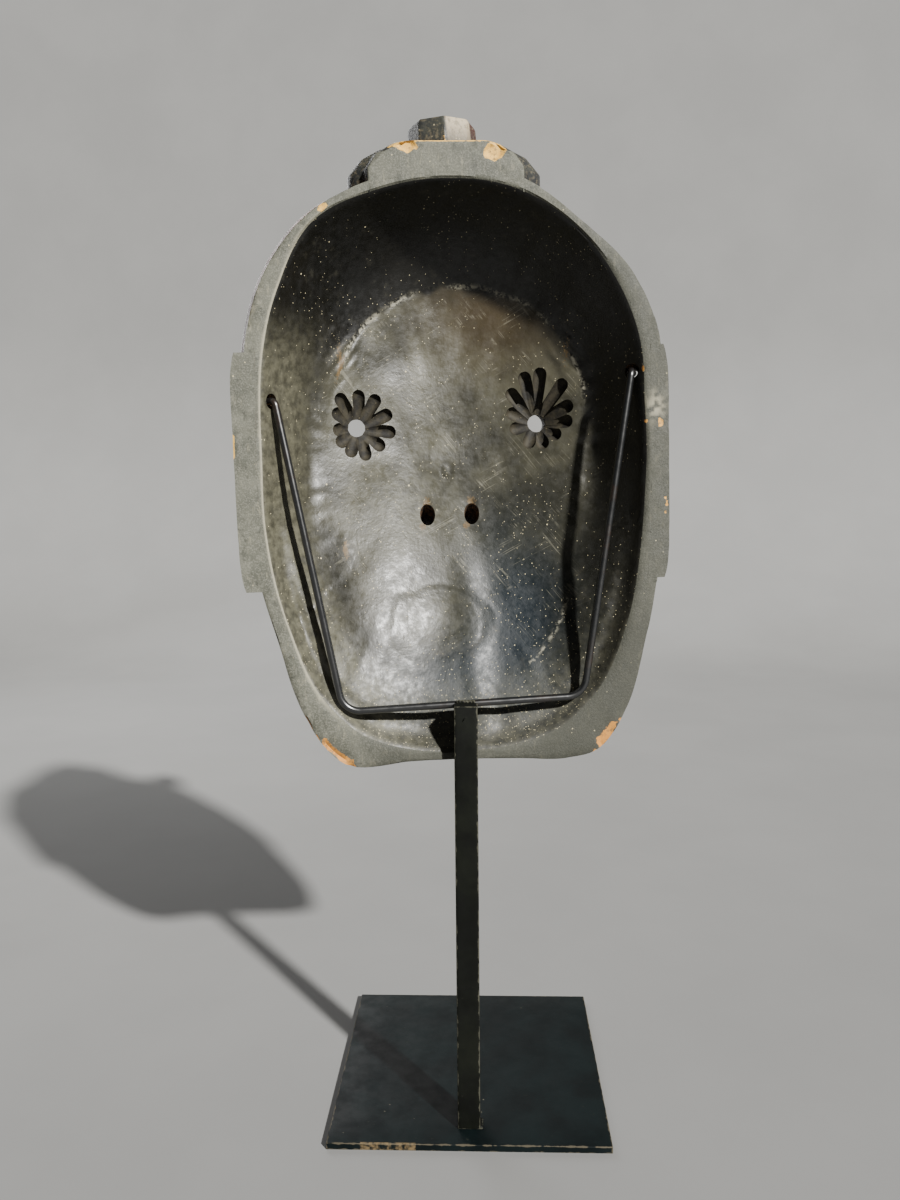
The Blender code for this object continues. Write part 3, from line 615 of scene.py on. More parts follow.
def rim_radius(theta, column):
    """Radius of the rim's outer (1) or inner (2) edge, as a smooth closed curve."""
    angles = np.radians([row[0] for row in RIM])
    radii = np.array([row[column] for row in RIM])
    angles = np.concatenate([angles[-2:] - 2 * np.pi, angles, angles[:2] + 2 * np.pi])
    radii = np.concatenate([radii[-2:], radii, radii[:2]])
    slopes = (radii[2:] - radii[:-2]) / (angles[2:] - angles[:-2])
    theta = np.mod(theta, 2 * np.pi)
    i = np.clip(np.searchsorted(angles, theta, side="right") - 1, 1, len(angles) - 3)
    span = angles[i + 1] - angles[i]
    t = (theta - angles[i]) / span
    return between(radii[i], radii[i + 1], slopes[i - 1] * span, slopes[i] * span, t)


def mound(x, z, centre_x, centre_z, reach_x, reach_z):
    """1 at a centre, falling to nothing a few reaches away from it."""
    return np.exp(-(((x - centre_x) / reach_x) ** 2) - ((z - centre_z) / reach_z) ** 2)


def ridge(distance, reach):
    """1 on a line, falling to nothing a few reaches to its sides."""
    return np.exp(-((distance / reach) ** 2))


def fade(value, low, high):
    """0 below low, 1 above high, smooth between."""
    t = np.clip((value - low) / (high - low), 0, 1)
    return t * t * (3 - 2 * t)


def swells(u, v, size_u, size_v, seed):
    """Smooth random waves from -1 to 1, one swell every size_u and size_v."""
    table = np.random.default_rng(seed).uniform(-1, 1, (64, 64))
    u, v = np.asarray(u) / size_u, np.asarray(v) / size_v
    i, j = np.floor(u).astype(int), np.floor(v).astype(int)
    s, t = fade(u - i, 0, 1), fade(v - j, 0, 1)
    low = table[i % 64, j % 64] * (1 - s) + table[(i + 1) % 64, j % 64] * s
    high = table[i % 64, (j + 1) % 64] * (1 - s) + table[(i + 1) % 64, (j + 1) % 64] * s
    return low * (1 - t) + high * t


def between(start, end, slope_start, slope_end, t):
    """Smooth curve from start to end with these slopes, at t from 0 to 1."""
    a = 2 * t**3 - 3 * t**2 + 1
    b = t**3 - 2 * t**2 + t
    c = t**3 - t**2
    return a * start + b * slope_start + (1 - a) * end + c * slope_end


def bowl(rho, theta):
    """Depth of the plain bowl, smooth along each ray and round the centre."""
    shares = np.array(HOLLOW_SHARES)
    angles = np.radians([row[0] for row in HOLLOW])
    depths = np.array([row[1:] for row in HOLLOW])
    slopes = np.gradient(depths, shares, axis=1)
    slopes[:, 0] = HOLLOW_LEAN * np.sin(angles)
    rho = np.clip(rho, 0, 1)
    i = np.clip(np.searchsorted(shares, rho, side="right") - 1, 0, len(shares) - 2)
    span = shares[i + 1] - shares[i]
    t = (rho - shares[i]) / span
    rays = between(depths[:, i], depths[:, i + 1], slopes[:, i] * span, slopes[:, i + 1] * span, t)
    count = len(HOLLOW)
    turn = np.mod(theta, 2 * np.pi) * count / (2 * np.pi)
    k = np.floor(turn).astype(int)
    last, here, after, later = (
        np.take_along_axis(rays, np.reshape((k + step) % count, (1, *np.shape(rho))), 0)[0]
        for step in (-1, 0, 1, 2)
    )
    return between(here, after, (after - last) / 2, (later - here) / 2, turn - k)


def hollow_depth(x, z, rho, theta):
    """Depth of the hollow: the bowl with the dent behind the mouth and the chin's ridge."""
    depth = bowl(rho, theta)
    depth = depth + MOUTH_DENT * mound(x, z, 0.012, -0.118, 0.034, 0.024)
    ridged = ridge(x + 0.012, 0.010) * fade(-z, 0.06, 0.09) * fade(depth, 0.0, 0.02)
    depth = depth - CHIN_RIDGE * ridged
    return np.maximum(depth, 0) + hollow_marks(x, z, rho, theta)


def oval(x, z, centre_x, centre_z, half_x, half_z):
    """0 at the centre of an oval and 1 on its border."""
    return np.hypot((x - centre_x) / half_x, (z - centre_z) / half_z)


def creases(x, z):
    """Broken lines that the gouge left round the hollow behind the mouth."""
    mouth = oval(x, z, *BEHIND_MOUTH) + 0.13 * swells(x, z, 0.016, 0.016, 23)
    lines = 0
    for number, at in enumerate((0.45, 0.80)):
        broken = fade(swells(x, z, 0.013, 0.013, 24 + number), 0.1, 0.7)
        lines = lines + ridge(mouth - at, 0.035) * broken
    return lines


def hollow_marks(x, z, rho, theta):
    """Tool marks, dents and wear cut on the hollow, all under a millimetre or so."""
    on_floor = 1 - fade(rho, 0.62, 0.78)
    inside = 1 - fade(rho, 0.94, 0.99)
    away = np.hypot(x, z)
    uneven = 0.0009 * swells(x, z, 0.030, 0.036, 3) + 0.0004 * swells(x, z, 0.014, 0.018, 5)
    strokes = 0.0006 * swells(theta, away, 0.075, 0.030, 11) * fade(z, 0.05, 0.10)
    wall_cuts = 0.0007 * swells(theta, away, 0.060, 0.050, 17) * (1 - on_floor)
    mouth = oval(x, z, *BEHIND_MOUTH)
    rings = 0.0001 * np.cos(2 * np.pi * mouth / 0.17 + 2 * swells(x, z, 0.02, 0.02, 21))
    rings = rings * ridge(mouth - 0.8, 0.45)
    lip = -0.0005 * ridge(mouth - 1.02 + 0.12 * swells(x, z, 0.014, 0.014, 22), 0.09)
    rings = rings + 0.0003 * creases(x, z)
    plug_line = 0.0005 * ridge(oval(x, z, *PEG) - 1, 0.22)
    scrapes = 0
    for side in (1, -1):
        patch = mound(x, z, side * NOSTRIL_X, TORN_Z, 0.0050, 0.0060)
        scrapes = scrapes + 0.0009 * patch * (1 + swells(x, z, 0.0022, 0.0022, 31))
    gouges = 0
    for centre_x, centre_z, slant in ((0.077, 0.075, 0.7), (-0.086, 0.074, -0.8)):
        along = (x - centre_x) + slant * (z - centre_z)
        patch = mound(x, z, centre_x, centre_z, 0.012, 0.022)
        gouges = gouges + 0.0011 * patch * swells(along, z, 0.0035, 0.014, 41)
    chipped = 0.0008 * mound(x, z, *WALL_CHIP, 0.004, 0.011) * (1 + swells(x, z, 0.003, 0.003, 51))
    scar = oval(x, z, *SCAR)
    strip = ridge(scar - 1 + 0.012 * swells(x, z, 0.012, 0.012, 61), 0.010) * fade(z, 0.03, 0.06)
    gouges = gouges + 0.0009 * strip * (0.6 + 0.4 * swells(x, z, 0.006, 0.006, 62))
    cuts = on_floor * (strokes + rings + lip + plug_line + scrapes)
    return inside * (uneven + wall_cuts + gouges + chipped) + cuts


def brow_line(x):
    """Height of a brow's middle line, at a distance from the mask's middle."""
    return 0.043 + 0.017 * np.sin(np.pi * np.clip((x - 0.010) / 0.092, 0, 1))


def brow_reach(side):
    """1 along a brow, fading out at its two ends."""
    return fade(side, 0.004, 0.016) * (1 - fade(side, 0.090, 0.108))


def above_moustache(side, z):
    """Height above the moustache's middle line."""
    return z - MOUTH_Z - 0.024 + 0.022 * (side / 0.06) ** 2


def hair_marks(x, z):
    """Brows, moustache and beard: how strongly each point is hair, and its carved strands."""
    side = np.abs(x)
    line = z - brow_line(side)
    along = brow_reach(side)
    brow = along * ridge(line, 0.0135)
    strands = 0.0022 * along * ridge(line, 0.015) * np.cos(2 * np.pi * (side - 0.7 * line) / 0.0075)
    lip = above_moustache(side, z)
    reach = 1 - fade(side, 0.060, 0.082)
    moustache = reach * ridge(lip, 0.0075)
    strands = strands + 0.0016 * reach * ridge(lip, 0.009) * np.cos(2 * np.pi * (side + lip) / 0.0065)
    beard = mound(x, z, 0, -0.166, 0.045, 0.014)
    strands = strands + 0.0025 * beard * np.cos(2 * np.pi * side / 0.0080)
    return np.maximum(np.maximum(brow, moustache), beard), strands


def face_relief(x, z):
    """How far the carving stands out of the plain dome of the face."""
    side = np.abs(x)
    out = 0.008 * mound(side, z, 0.082, -0.046, 0.030, 0.032)
    out += 0.020 * mound(x, z, 0, -0.018, 0.030, 0.045)
    out += 0.012 * mound(side, z, 0.021, -0.040, 0.011, 0.012)
    out += 0.009 * mound(x, z, 0, MOUTH_Z, 0.060, 0.034)
    out += 0.013 * mound(x, z, 0, -0.166, 0.040, 0.022)
    out += 0.007 * mound(x, z, 0, 0.110, 0.090, 0.040)

    # Eyes: socket, ball and lids
    out -= 0.011 * mound(side, z, EYE_X, EYE_Z - 0.002, 0.036, 0.023)
    eye = oval(side, z, *EYE_BALL)
    out += 0.013 * np.sqrt(np.clip(1 - eye**2, 0, 1))
    out += 0.005 * ridge(eye - 1.12, 0.16)

    # Brows, frown and forehead furrows
    line = z - brow_line(side)
    along = brow_reach(side)
    out += 0.014 * along * ridge(line, 0.0135)
    out -= 0.005 * ridge(side - 0.010 - 0.1 * (z - 0.05), 0.0035) * mound(x, z, 0, 0.058, 1, 0.018)
    for height in (0.090, 0.106, 0.122):
        wave = z - height + 0.020 * (side / 0.09) ** 2 - 0.004 * np.cos(side / 0.014)
        out -= 0.0035 * ridge(wave, 0.0036) * (1 - fade(side, 0.060, 0.085))

    # Fold from the nose to the corner of the mouth
    fold = side - 0.030 - 0.034 * fade(-z, 0.035, 0.105)
    out -= 0.005 * ridge(fold, 0.006) * fade(-z, 0.025, 0.050) * (1 - fade(-z, 0.105, 0.125))

    # Moustache, lips and the strands of the hair
    moustache = above_moustache(side, z)
    out += 0.006 * ridge(moustache, 0.0075) * (1 - fade(side, 0.060, 0.082))
    slit = z - MOUTH_Z + 0.012 * (side / 0.055) ** 2
    width = 1 - fade(side, 0.046, 0.060)
    out -= 0.009 * ridge(slit, 0.0042) * width
    out += 0.005 * ridge(slit - 0.009, 0.0055) * width
    out += 0.006 * ridge(slit + 0.010, 0.0065) * width
    out += hair_marks(x, z)[1]
    return out + 0.0004 * swells(x, z, 0.016, 0.016, 61)


def disc_grid():
    """Square grid laid on the unit disc: rho and theta of its points."""
    a, b = np.meshgrid(np.linspace(-1, 1, CELLS_X + 1), np.linspace(-1, 1, CELLS_Z + 1))
    wide = np.abs(a) > np.abs(b)
    safe_a = np.where(a == 0, 1, a)
    safe_b = np.where(b == 0, 1, b)
    angle = np.where(wide, (np.pi / 4) * b / safe_a, np.pi / 2 - (np.pi / 4) * a / safe_b)
    radius = np.where(wide, a, b)
    return np.abs(radius).ravel(), (angle + np.where(radius < 0, np.pi, 0)).ravel()


def rim_top(x, z, theta, share):
    """Height of the rim's flat at a share of the way from its inner to its outer edge."""
    ears = np.maximum(np.cos(theta), -np.cos(theta)) > math.cos(math.radians(33))
    cap = (np.abs(x) < 0.062) & (z > 0)
    outer = np.where(ears | cap, 0.0, 0.0010)
    worn = 0.00025 * (swells(x, z, 0.012, 0.012, 71) - 1)
    inner = (0.0011 + 0.0005 * swells(x, z, 0.03, 0.03, 73)) * (1 - fade(share, 0.0, 0.16))
    edge = outer * fade(share, 0.86, 1.0) * (1 + 0.5 * swells(x, z, 0.007, 0.007, 72))
    return -(np.abs(inner) + edge) + worn - chip_depth(x, z)


def chip_distance(x, z, chip):
    """0 at a chip's middle and about 1 at its torn border."""
    turn = math.radians(chip[4])
    along = (x - chip[0]) * math.cos(turn) + (z - chip[1]) * math.sin(turn)
    across = (z - chip[1]) * math.cos(turn) - (x - chip[0]) * math.sin(turn)
    return np.hypot(along / chip[2], across / chip[3]) + 0.25 * swells(x, z, 0.0035, 0.0035, 81)


def chip_depth(x, z):
    """How deep the chips cut in to the rim."""
    deep = 0
    for chip in CHIPS:
        deep = deep + chip[5] * (1 - fade(chip_distance(x, z, chip), 0.55, 1.1))
    return deep


def swelling(theta, forward):
    """How far the outside bellies out past the rim, on the upper left."""
    there = fade(np.cos(theta - math.radians(SWELL_TOWARDS)), 0.80, 0.97)
    return SWELL * there * fade(forward, 0.0, 0.014) * (1 - fade(forward, 0.050, 0.090))


def shell_points():
    """Points of the hollow and of the face, on equal grids, and their angles."""
    rho, theta = disc_grid()
    border = rho > 0.9999
    inner = rim_radius(theta, 2)
    outer = rim_radius(theta, 1)

    x = rho * inner * np.cos(theta)
    z = rho * inner * np.sin(theta)
    lip = -rim_top(x, z, theta, np.zeros_like(x))
    depth = np.maximum(hollow_depth(x, z, rho, theta), lip)
    hollow = np.stack([x, -np.where(border, lip, depth), z], 1)

    turn = rho * np.pi / 2
    share = np.sin(turn) ** (2 / FACE_POWER)
    depth = np.clip(np.cos(turn), 0, 1) ** (2 / FACE_POWER)
    radius = share * outer
    x = radius * np.cos(theta)
    z = radius * np.sin(theta)
    chin = 1 - 0.25 * fade(-z, 0.10, 0.21)
    forward = FACE_DEPTH * depth * chin + fade(depth, 0.30, 0.75) * face_relief(x, z)
    swell = 1 + swelling(theta, forward) / np.maximum(radius, SWELL)
    edge = -rim_top(x, z, theta, np.ones_like(x))
    forward = np.where(border, edge, np.maximum(forward, edge))
    face = np.stack([x * swell, -forward, z * swell], 1)
    return hollow, face, theta


def perimeter():
    """Indices of the grid's border points, in order round it."""
    side = CELLS_X + 1
    bottom = list(range(CELLS_X))
    right = [j * side + CELLS_X for j in range(CELLS_Z)]
    top = [CELLS_Z * side + i for i in range(CELLS_X, 0, -1)]
    left = [j * side for j in range(CELLS_Z, 0, -1)]
    return np.array(bottom + right + top + left)


def shell():
    """The bare mask: hollow sheet, face sheet and the flat rim between them."""
    hollow, face, theta = shell_points()
    ring = perimeter()
    rows = []
    for share in RIM_ROWS:
        place = hollow[ring] * (1 - share) + face[ring] * share
        height = rim_top(place[:, 0], place[:, 2], theta[ring], np.full(len(ring), share))
        rows.append(np.stack([place[:, 0], height, place[:, 2]], 1))
    points = np.concatenate([hollow, face, *rows])
    side = CELLS_X + 1
    i, j = np.meshgrid(np.arange(CELLS_X), np.arange(CELLS_Z))
    a = (j * side + i).ravel()
    quads = np.stack([a, a + 1, a + side + 1, a + side], 1)
    second = len(hollow)
    faces = [quads, quads[:, ::-1] + second]
    levels = [ring]
    for k in range(len(RIM_ROWS)):
        levels.append(2 * second + k * len(ring) + np.arange(len(ring)))
    levels.append(ring + second)
    for low, high in zip(levels, levels[1:]):
        faces.append(np.stack([np.roll(low, -1), low, high, np.roll(high, -1)], 1))
    kinds = np.repeat(
        [INNER_FINISH, FACE_FINISH, RIM_FINISH],
        [len(quads), len(quads), len(ring) * (len(levels) - 1)],
    )
    mesh = bpy.data.meshes.new("mask_shell")
    mesh.from_pydata(points.tolist(), [], np.concatenate(faces).tolist())
    mesh.polygons.foreach_set("material_index", kinds.astype(np.int32))
    obj = bpy.data.objects.new("carved_wood_mask", mesh)
    bpy.context.scene.collection.objects.link(obj)
    return obj


def skin(name, rings, kind, finishes):
    """Closed skin over rings of equally many points."""
    points = [p for ring in rings for p in ring]
    count = len(rings[0])
    faces = []
    for k in range(len(rings) - 1):
        for i in range(count):
            j = (i + 1) % count
            faces.append((k * count + i, k * count + j, (k + 1) * count + j, (k + 1) * count + i))
    faces.append(tuple(reversed(range(count))))
    faces.append(tuple(range((len(rings) - 1) * count, len(rings) * count)))
    mesh = bpy.data.meshes.new(name)
    mesh.from_pydata([tuple(p) for p in points], [], faces)
    for finish in finishes:
        mesh.materials.append(finish)
    mesh.polygons.foreach_set("material_index", np.full(len(faces), kind, np.int32))
    obj = bpy.data.objects.new(name, mesh)
    bpy.context.scene.collection.objects.link(obj)
    edit_all(obj)
    bpy.ops.mesh.normals_make_consistent(inside=False)
    bpy.ops.object.mode_set(mode="OBJECT")
    return obj


def nose(finishes):
    """Long nose: oval, a little arched, flared at its root, with a round heavy tip."""
    rings = []
    steps, sides = 56, 48
    for k in range(steps + 1):
        t = 1 - (1 - k / steps) ** 1.4
        along = -NOSE_INSET + (NOSE_LENGTH + NOSE_INSET) * t
        share = max(0.0, along) / NOSE_LENGTH
        size = NOSE_ROOT + (NOSE_TIP - NOSE_ROOT) * math.sin(math.pi / 2 * share)
        size = size * (1 + 0.30 * math.exp(-along / 0.016)) if along > 0 else size * 1.30
        size = size * (1 + 0.10 * math.exp(-(((share - 0.88) / 0.10) ** 2)))
        tip = max(0.0, (share - 0.86) / 0.14)
        size = size * math.sqrt(max(0.01, 1 - tip**2.2))
        lift = math.tan(math.radians(NOSE_RISE)) * along + NOSE_ARCH * math.sin(math.pi * share)
        wrinkles = 0.0007 * math.exp(-(((along - 0.020) / 0.014) ** 2))
        wrinkles = wrinkles * math.cos(2 * math.pi * along / 0.0095)
        ring = []
        for i in range(sides):
            a = 2 * math.pi * i / sides
            facet = 0.00025 * float(swells(a * 0.02, along, 0.012, 0.020, 91))
            swell = size + facet + wrinkles * max(0.0, math.sin(a))
            height = NOSE_Z + lift + swell * math.sin(a)
            ring.append((0.92 * swell * math.cos(a), -FACE_DEPTH - along, height))
        rings.append(ring)
    return skin("nose_form", rings, FACE_FINISH, finishes)


def dome_half_width(side, depth, z):
    """Half-width of the face's plain dome at a height and depth."""
    share = (1 - min(1.0, depth / FACE_DEPTH) ** FACE_POWER) ** (1 / FACE_POWER)
    x = 0.130
    for _ in range(6):
        theta = math.atan2(z, side * x)
        radius = share * float(rim_radius(theta, 1))
        x = math.sqrt(max(1e-6, radius**2 - z**2))
    return x


def ear(side, finishes):
    """Ear on the side wall: a raised helix round a hollow, over a round lobe."""
    rows, columns, root = ((54, 30, 7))
    height = EAR_TOP - EAR_BOTTOM
    back = FLUSH
    rings = []
    for j in range(rows + 1):
        v = j / rows
        z = EAR_BOTTOM + height * v
        corner = 1 - 0.025 * abs(2 * v - 1) ** 8
        deep = EAR_DEPTH * (0.62 + 0.38 * math.sin(math.pi * min(1, 0.15 + 0.75 * v)))
        ring = []
        for i in range(root):
            depth = back + (deep - back) * i / (root - 1)
            ring.append((side * (dome_half_width(side, depth, z) - EAR_ROOT), -depth, z))
        for i in range(columns + 1):
            u = i / columns
            depth = deep + (back - deep) * u
            border = min(EAR_FRONT * u, EAR_BACK - u, EAR_ENDS * v, EAR_ENDS * (1 - v))
            bowl = float(fade(border, 0.14, 0.30)) * (1 - 0.5 * math.exp(-(((u - 0.5) / 0.13) ** 2)))
            nicks = 0.0003 * float(swells(z, u, 0.009, 0.2, 95)) * float(fade(u, 0.9, 1.0))
            out = EAR_OUT * corner - 0.008 * (1 - u) ** 2 - EAR_BOWL * bowl + min(0.0, nicks)
            ring.append((side * out, -depth, z))
        rings.append(ring)
    return skin("ear_form", rings, FACE_FINISH, finishes)


def dome_height(depth):
    """Height of the face's plain dome on the centre line, at a depth."""
    share = min(1.0, depth / FACE_DEPTH)
    return float(rim_radius(np.pi / 2, 1)) * (1 - share**FACE_POWER) ** (1 / FACE_POWER)


def cap(finishes):
    """Pleated drum of the cap: its foot follows the dome, and the rim plane cuts its back."""
    heart = (CAP_FOOT[0] / 2, CAP_FOOT[1] / 2)
    levels = [(heart, None), (CAP_FOOT, None), (CAP_FOOT, 0.1700), (CAP_FOOT, 0.1780), (CAP_FOOT, 0.1860)]
    levels += [(CAP_SHOULDER, 0.1960), ((0.0475, 0.0372), 0.2015), (CAP_TOP, CAP_TOP_Z)]
    rings = []
    for (reach_x, reach_y), z in levels:
        ring = []
        for i in range(8 * CAP_SIDES):
            a = math.pi * (i + 0.5) / (4 * CAP_SIDES)
            pleat = 1 - CAP_PLEAT * (0.5 + 0.5 * math.cos(CAP_SIDES * a)) ** 3
            x = reach_x * pleat * math.cos(a)
            y = -CAP_CENTRE + reach_y * pleat * math.sin(a)
            foot = dome_height(min(max(-y, 0.0), 0.95 * FACE_DEPTH)) * math.sqrt(1 - (x / 0.19) ** 2)
            lean = CAP_LEAN * max(0.0, -y - CAP_CENTRE)
            ring.append((x, y, foot - CAP_SUNK if z is None else z - lean))
        rings.append(ring)
    obj = skin("cap_form", rings, CAP_FINISH, finishes)
    edit_all(obj)
    bpy.ops.mesh.bisect(plane_co=(0, -FLUSH, 0), plane_no=(0, 1, 0), use_fill=True, clear_outer=True)
    bpy.ops.object.mode_set(mode="OBJECT")
    return obj


def knob(finishes):
    """Eight-sided knob on the cap, one edge towards the back."""
    low, high = CAP_TOP_Z - KNOB_SUNK, KNOB_TOP_Z
    slope = (KNOB_TOP_RADIUS - KNOB_RADIUS) / (high - low)
    rings = []
    for radius, z in (
        (KNOB_RADIUS, low),
        (KNOB_TOP_RADIUS - slope * KNOB_BEVEL, high - KNOB_BEVEL),
        (KNOB_TOP_RADIUS - 0.35 * KNOB_BEVEL, high - 0.3 * KNOB_BEVEL),
        (KNOB_TOP_RADIUS - 1.3 * KNOB_BEVEL, high),
    ):
        corners = []
        for i in range(KNOB_SIDES + 1):
            a = math.pi / 2 + 2 * math.pi * i / KNOB_SIDES
            corners.append(Vector((radius * math.cos(a), -CAP_CENTRE + radius * math.sin(a), z)))
        rings.append([a.lerp(b, k / 8) for a, b in zip(corners, corners[1:]) for k in range(8)])
    return skin("knob_form", rings, CAP_FINISH, finishes)


def circle(centre, radius, across, up, sides):
    """Points round a centre, across and up giving its plane and its shape."""
    turns = [2 * math.pi * i / sides for i in range(sides)]
    return [centre + radius * (across * math.cos(a) + up * math.sin(a)) for a in turns]


def frustum(name, start, end, first, last, kind, finishes, shape=(1.0, 1.0)):
    """Round or oval cutter from one point to another."""
    axis = (end - start).normalized()
    across = axis.cross(Vector((0, 0, 1))).normalized()
    up = across.cross(axis)
    rings = [
        circle(centre, radius, across * shape[0], up * shape[1], HOLE_SIDES)
        for centre, radius in ((start, first), (end, last))
    ]
    return skin(name, rings, kind, finishes)


def cord_hole(hook, direction, finishes):
    """Cord hole through a side wall, wider at its mouth."""
    across = direction.cross(Vector((0, 0, 1))).normalized()
    up = across.cross(direction)
    levels = ((-0.006, CORD_MOUTH), (0.006, CORD_MOUTH), (0.010, CORD_HOLE), (0.060, CORD_HOLE))
    rings = [circle(hook + along * direction, radius, across, up, CORD_SIDES) for along, radius in levels]
    return skin("cord_hole", rings, WOOD_FINISH, finishes)


def floor_y(x, z):
    """Depth of the hollow's floor at a point, as a y value."""
    theta = math.atan2(z, x)
    rho = math.hypot(x, z) / float(rim_radius(theta, 2))
    return -float(hollow_depth(np.array(x), np.array(z), np.array(rho), np.array(theta)))


def gouge_cut(start, end, first, last, finishes):
    """Round-ended groove left by a gouge: a tapered rod with ball ends."""
    axis = (end - start).normalized()
    across = axis.cross(Vector((0, 1, 0))).normalized()
    up = across.cross(axis)
    levels = []
    for k in range(1, 6):
        a = math.pi / 2 * k / 5
        levels.append((start - axis * first * math.cos(a), first * math.sin(a)))
    for k in range(5):
        a = math.pi / 2 * k / 5
        levels.append((end + axis * last * math.sin(a), last * math.cos(a)))
    rings = [circle(centre, radius, across, up, GOUGE_SIDES) for centre, radius in levels]
    return skin("gouge_cut", rings, CUT_FINISH, finishes)


def flower(hole_x, petals, finishes):
    """Gouge cuts that run in to the eye hole, deeper towards it."""
    cuts = []
    centre = Vector((hole_x, floor_y(hole_x, EYE_Z) - FUNNEL_DEEP, EYE_Z))
    for direction, reach in petals:
        turn = math.radians(direction)
        out = Vector((math.cos(turn), 0, math.sin(turn)))
        x = hole_x + (reach - GOUGE) * out.x
        z = EYE_Z + (reach - GOUGE) * out.z
        tip = Vector((x, floor_y(x, z) + 0.0002, z))
        cuts.append(gouge_cut(tip, centre, GOUGE, GOUGE_ROOT, finishes))
    return cuts


def cut_or_join(obj, operand, operation):
    """Boolean with a helper object, which is then removed."""
    modifier = obj.modifiers.new(operand.name, "BOOLEAN")
    modifier.operation = operation
    modifier.solver = "MANIFOLD"
    modifier.object = operand
    apply_modifiers(obj)
    bpy.data.objects.remove(operand)


def carved_mask():
    """The whole mask: shell, nose, ears and cap joined, holes and gouge cuts taken out."""
    finishes = [inner_lacquer(), rim_lacquer(), face_lacquer(), cap_lacquer(), raw_wood(), cut_lacquer()]
    mask = shell()
    for finish in finishes:
        mask.data.materials.append(finish)
    helpers = [nose(finishes), ear(1, finishes), ear(-1, finishes), cap(finishes), knob(finishes)]
    cutters = flower(EYE_X, PETALS_LEFT, finishes) + flower(-EYE_X, PETALS_RIGHT, finishes)
    for side in (1, -1):
        cutters.append(frustum(
            "eye_hole",
            Vector((side * EYE_X, -FLOOR_DEPTH + EYE_HOLE_PAST, EYE_Z)),
            Vector((side * EYE_X * EYE_HOLE_SPREAD, -FACE_DEPTH - EYE_HOLE_PAST, EYE_Z + EYE_HOLE_RISE)),
            EYE_HOLE, EYE_FLARE, CUT_FINISH, finishes,
        ))
        cutters.append(frustum(
            "nostril",
            Vector((side * NOSTRIL_X, -FLOOR_DEPTH + NOSTRIL_START, NOSTRIL_Z + NOSTRIL_RISE)),
            Vector((
                side * NOSTRIL_X * NOSTRIL_SPREAD,
                -FACE_DEPTH - NOSTRIL_PAST,
                NOSTRIL_Z - NOSTRIL_DROP,
            )),
            NOSTRIL_WIDTH / 2, NOSTRIL_WIDTH / 2 * NOSTRIL_TAPER, WOOD_FINISH, finishes,
            (1.0, NOSTRIL_HEIGHT / NOSTRIL_WIDTH),
        ))
    cutters.append(cord_hole(HOOK_LEFT, HOLE_LEFT, finishes))
    cutters.append(cord_hole(HOOK_RIGHT, HOLE_RIGHT, finishes))
    for helper in helpers:
        cut_or_join(mask, helper, "UNION")
    for cutter in cutters:
        cut_or_join(mask, cutter, "DIFFERENCE")
    wear_backs(mask)
    add_marks(mask)
    mask.data.validate()
    mask.data.transform(mask_pose())
    activate(mask)
    bpy.ops.object.shade_smooth_by_angle(angle=math.radians(40))
    return mask


def coarse_backs(bm):
    """The flat backs of the ears and the cap, and those of their edges that are too long."""
    backs = [f for f in bm.faces if f.normal.y > 0.9 and f.calc_center_median().y > -2 * FLUSH]
    return backs, {e for f in backs for e in f.edges if e.calc_length() > BACK_GRAIN}


def wear_backs(mask):
    """Gives the flat backs the rim's finish, points enough for wear, and chips."""
    bm = bmesh.new()
    bm.from_mesh(mask.data)
    for _ in range(5):
        backs, long_edges = coarse_backs(bm)
        if not long_edges:
            break
        bmesh.ops.triangulate(bm, faces=[f for f in backs if len(f.verts) > 3])
        long_edges = coarse_backs(bm)[1]
        bmesh.ops.subdivide_edges(bm, edges=list(long_edges), cuts=1)
    bmesh.ops.triangulate(bm, faces=[f for f in bm.faces if len(f.verts) > 4])
    for face in bm.faces:
        if face.normal.y > 0.6 and face.calc_center_median().y > -0.003:
            face.material_index = RIM_FINISH
    flat = [v for v in bm.verts if v.co.y > -2 * FLUSH]
    x = np.array([v.co.x for v in flat])
    z = np.array([v.co.z for v in flat])
    sunk = chip_depth(x, z) + 0.0002 * (1 + swells(x, z, 0.006, 0.006, 75))
    for vert, depth in zip(flat, sunk):
        vert.co.y -= depth
    bm.to_mesh(mask.data)
    bm.free()


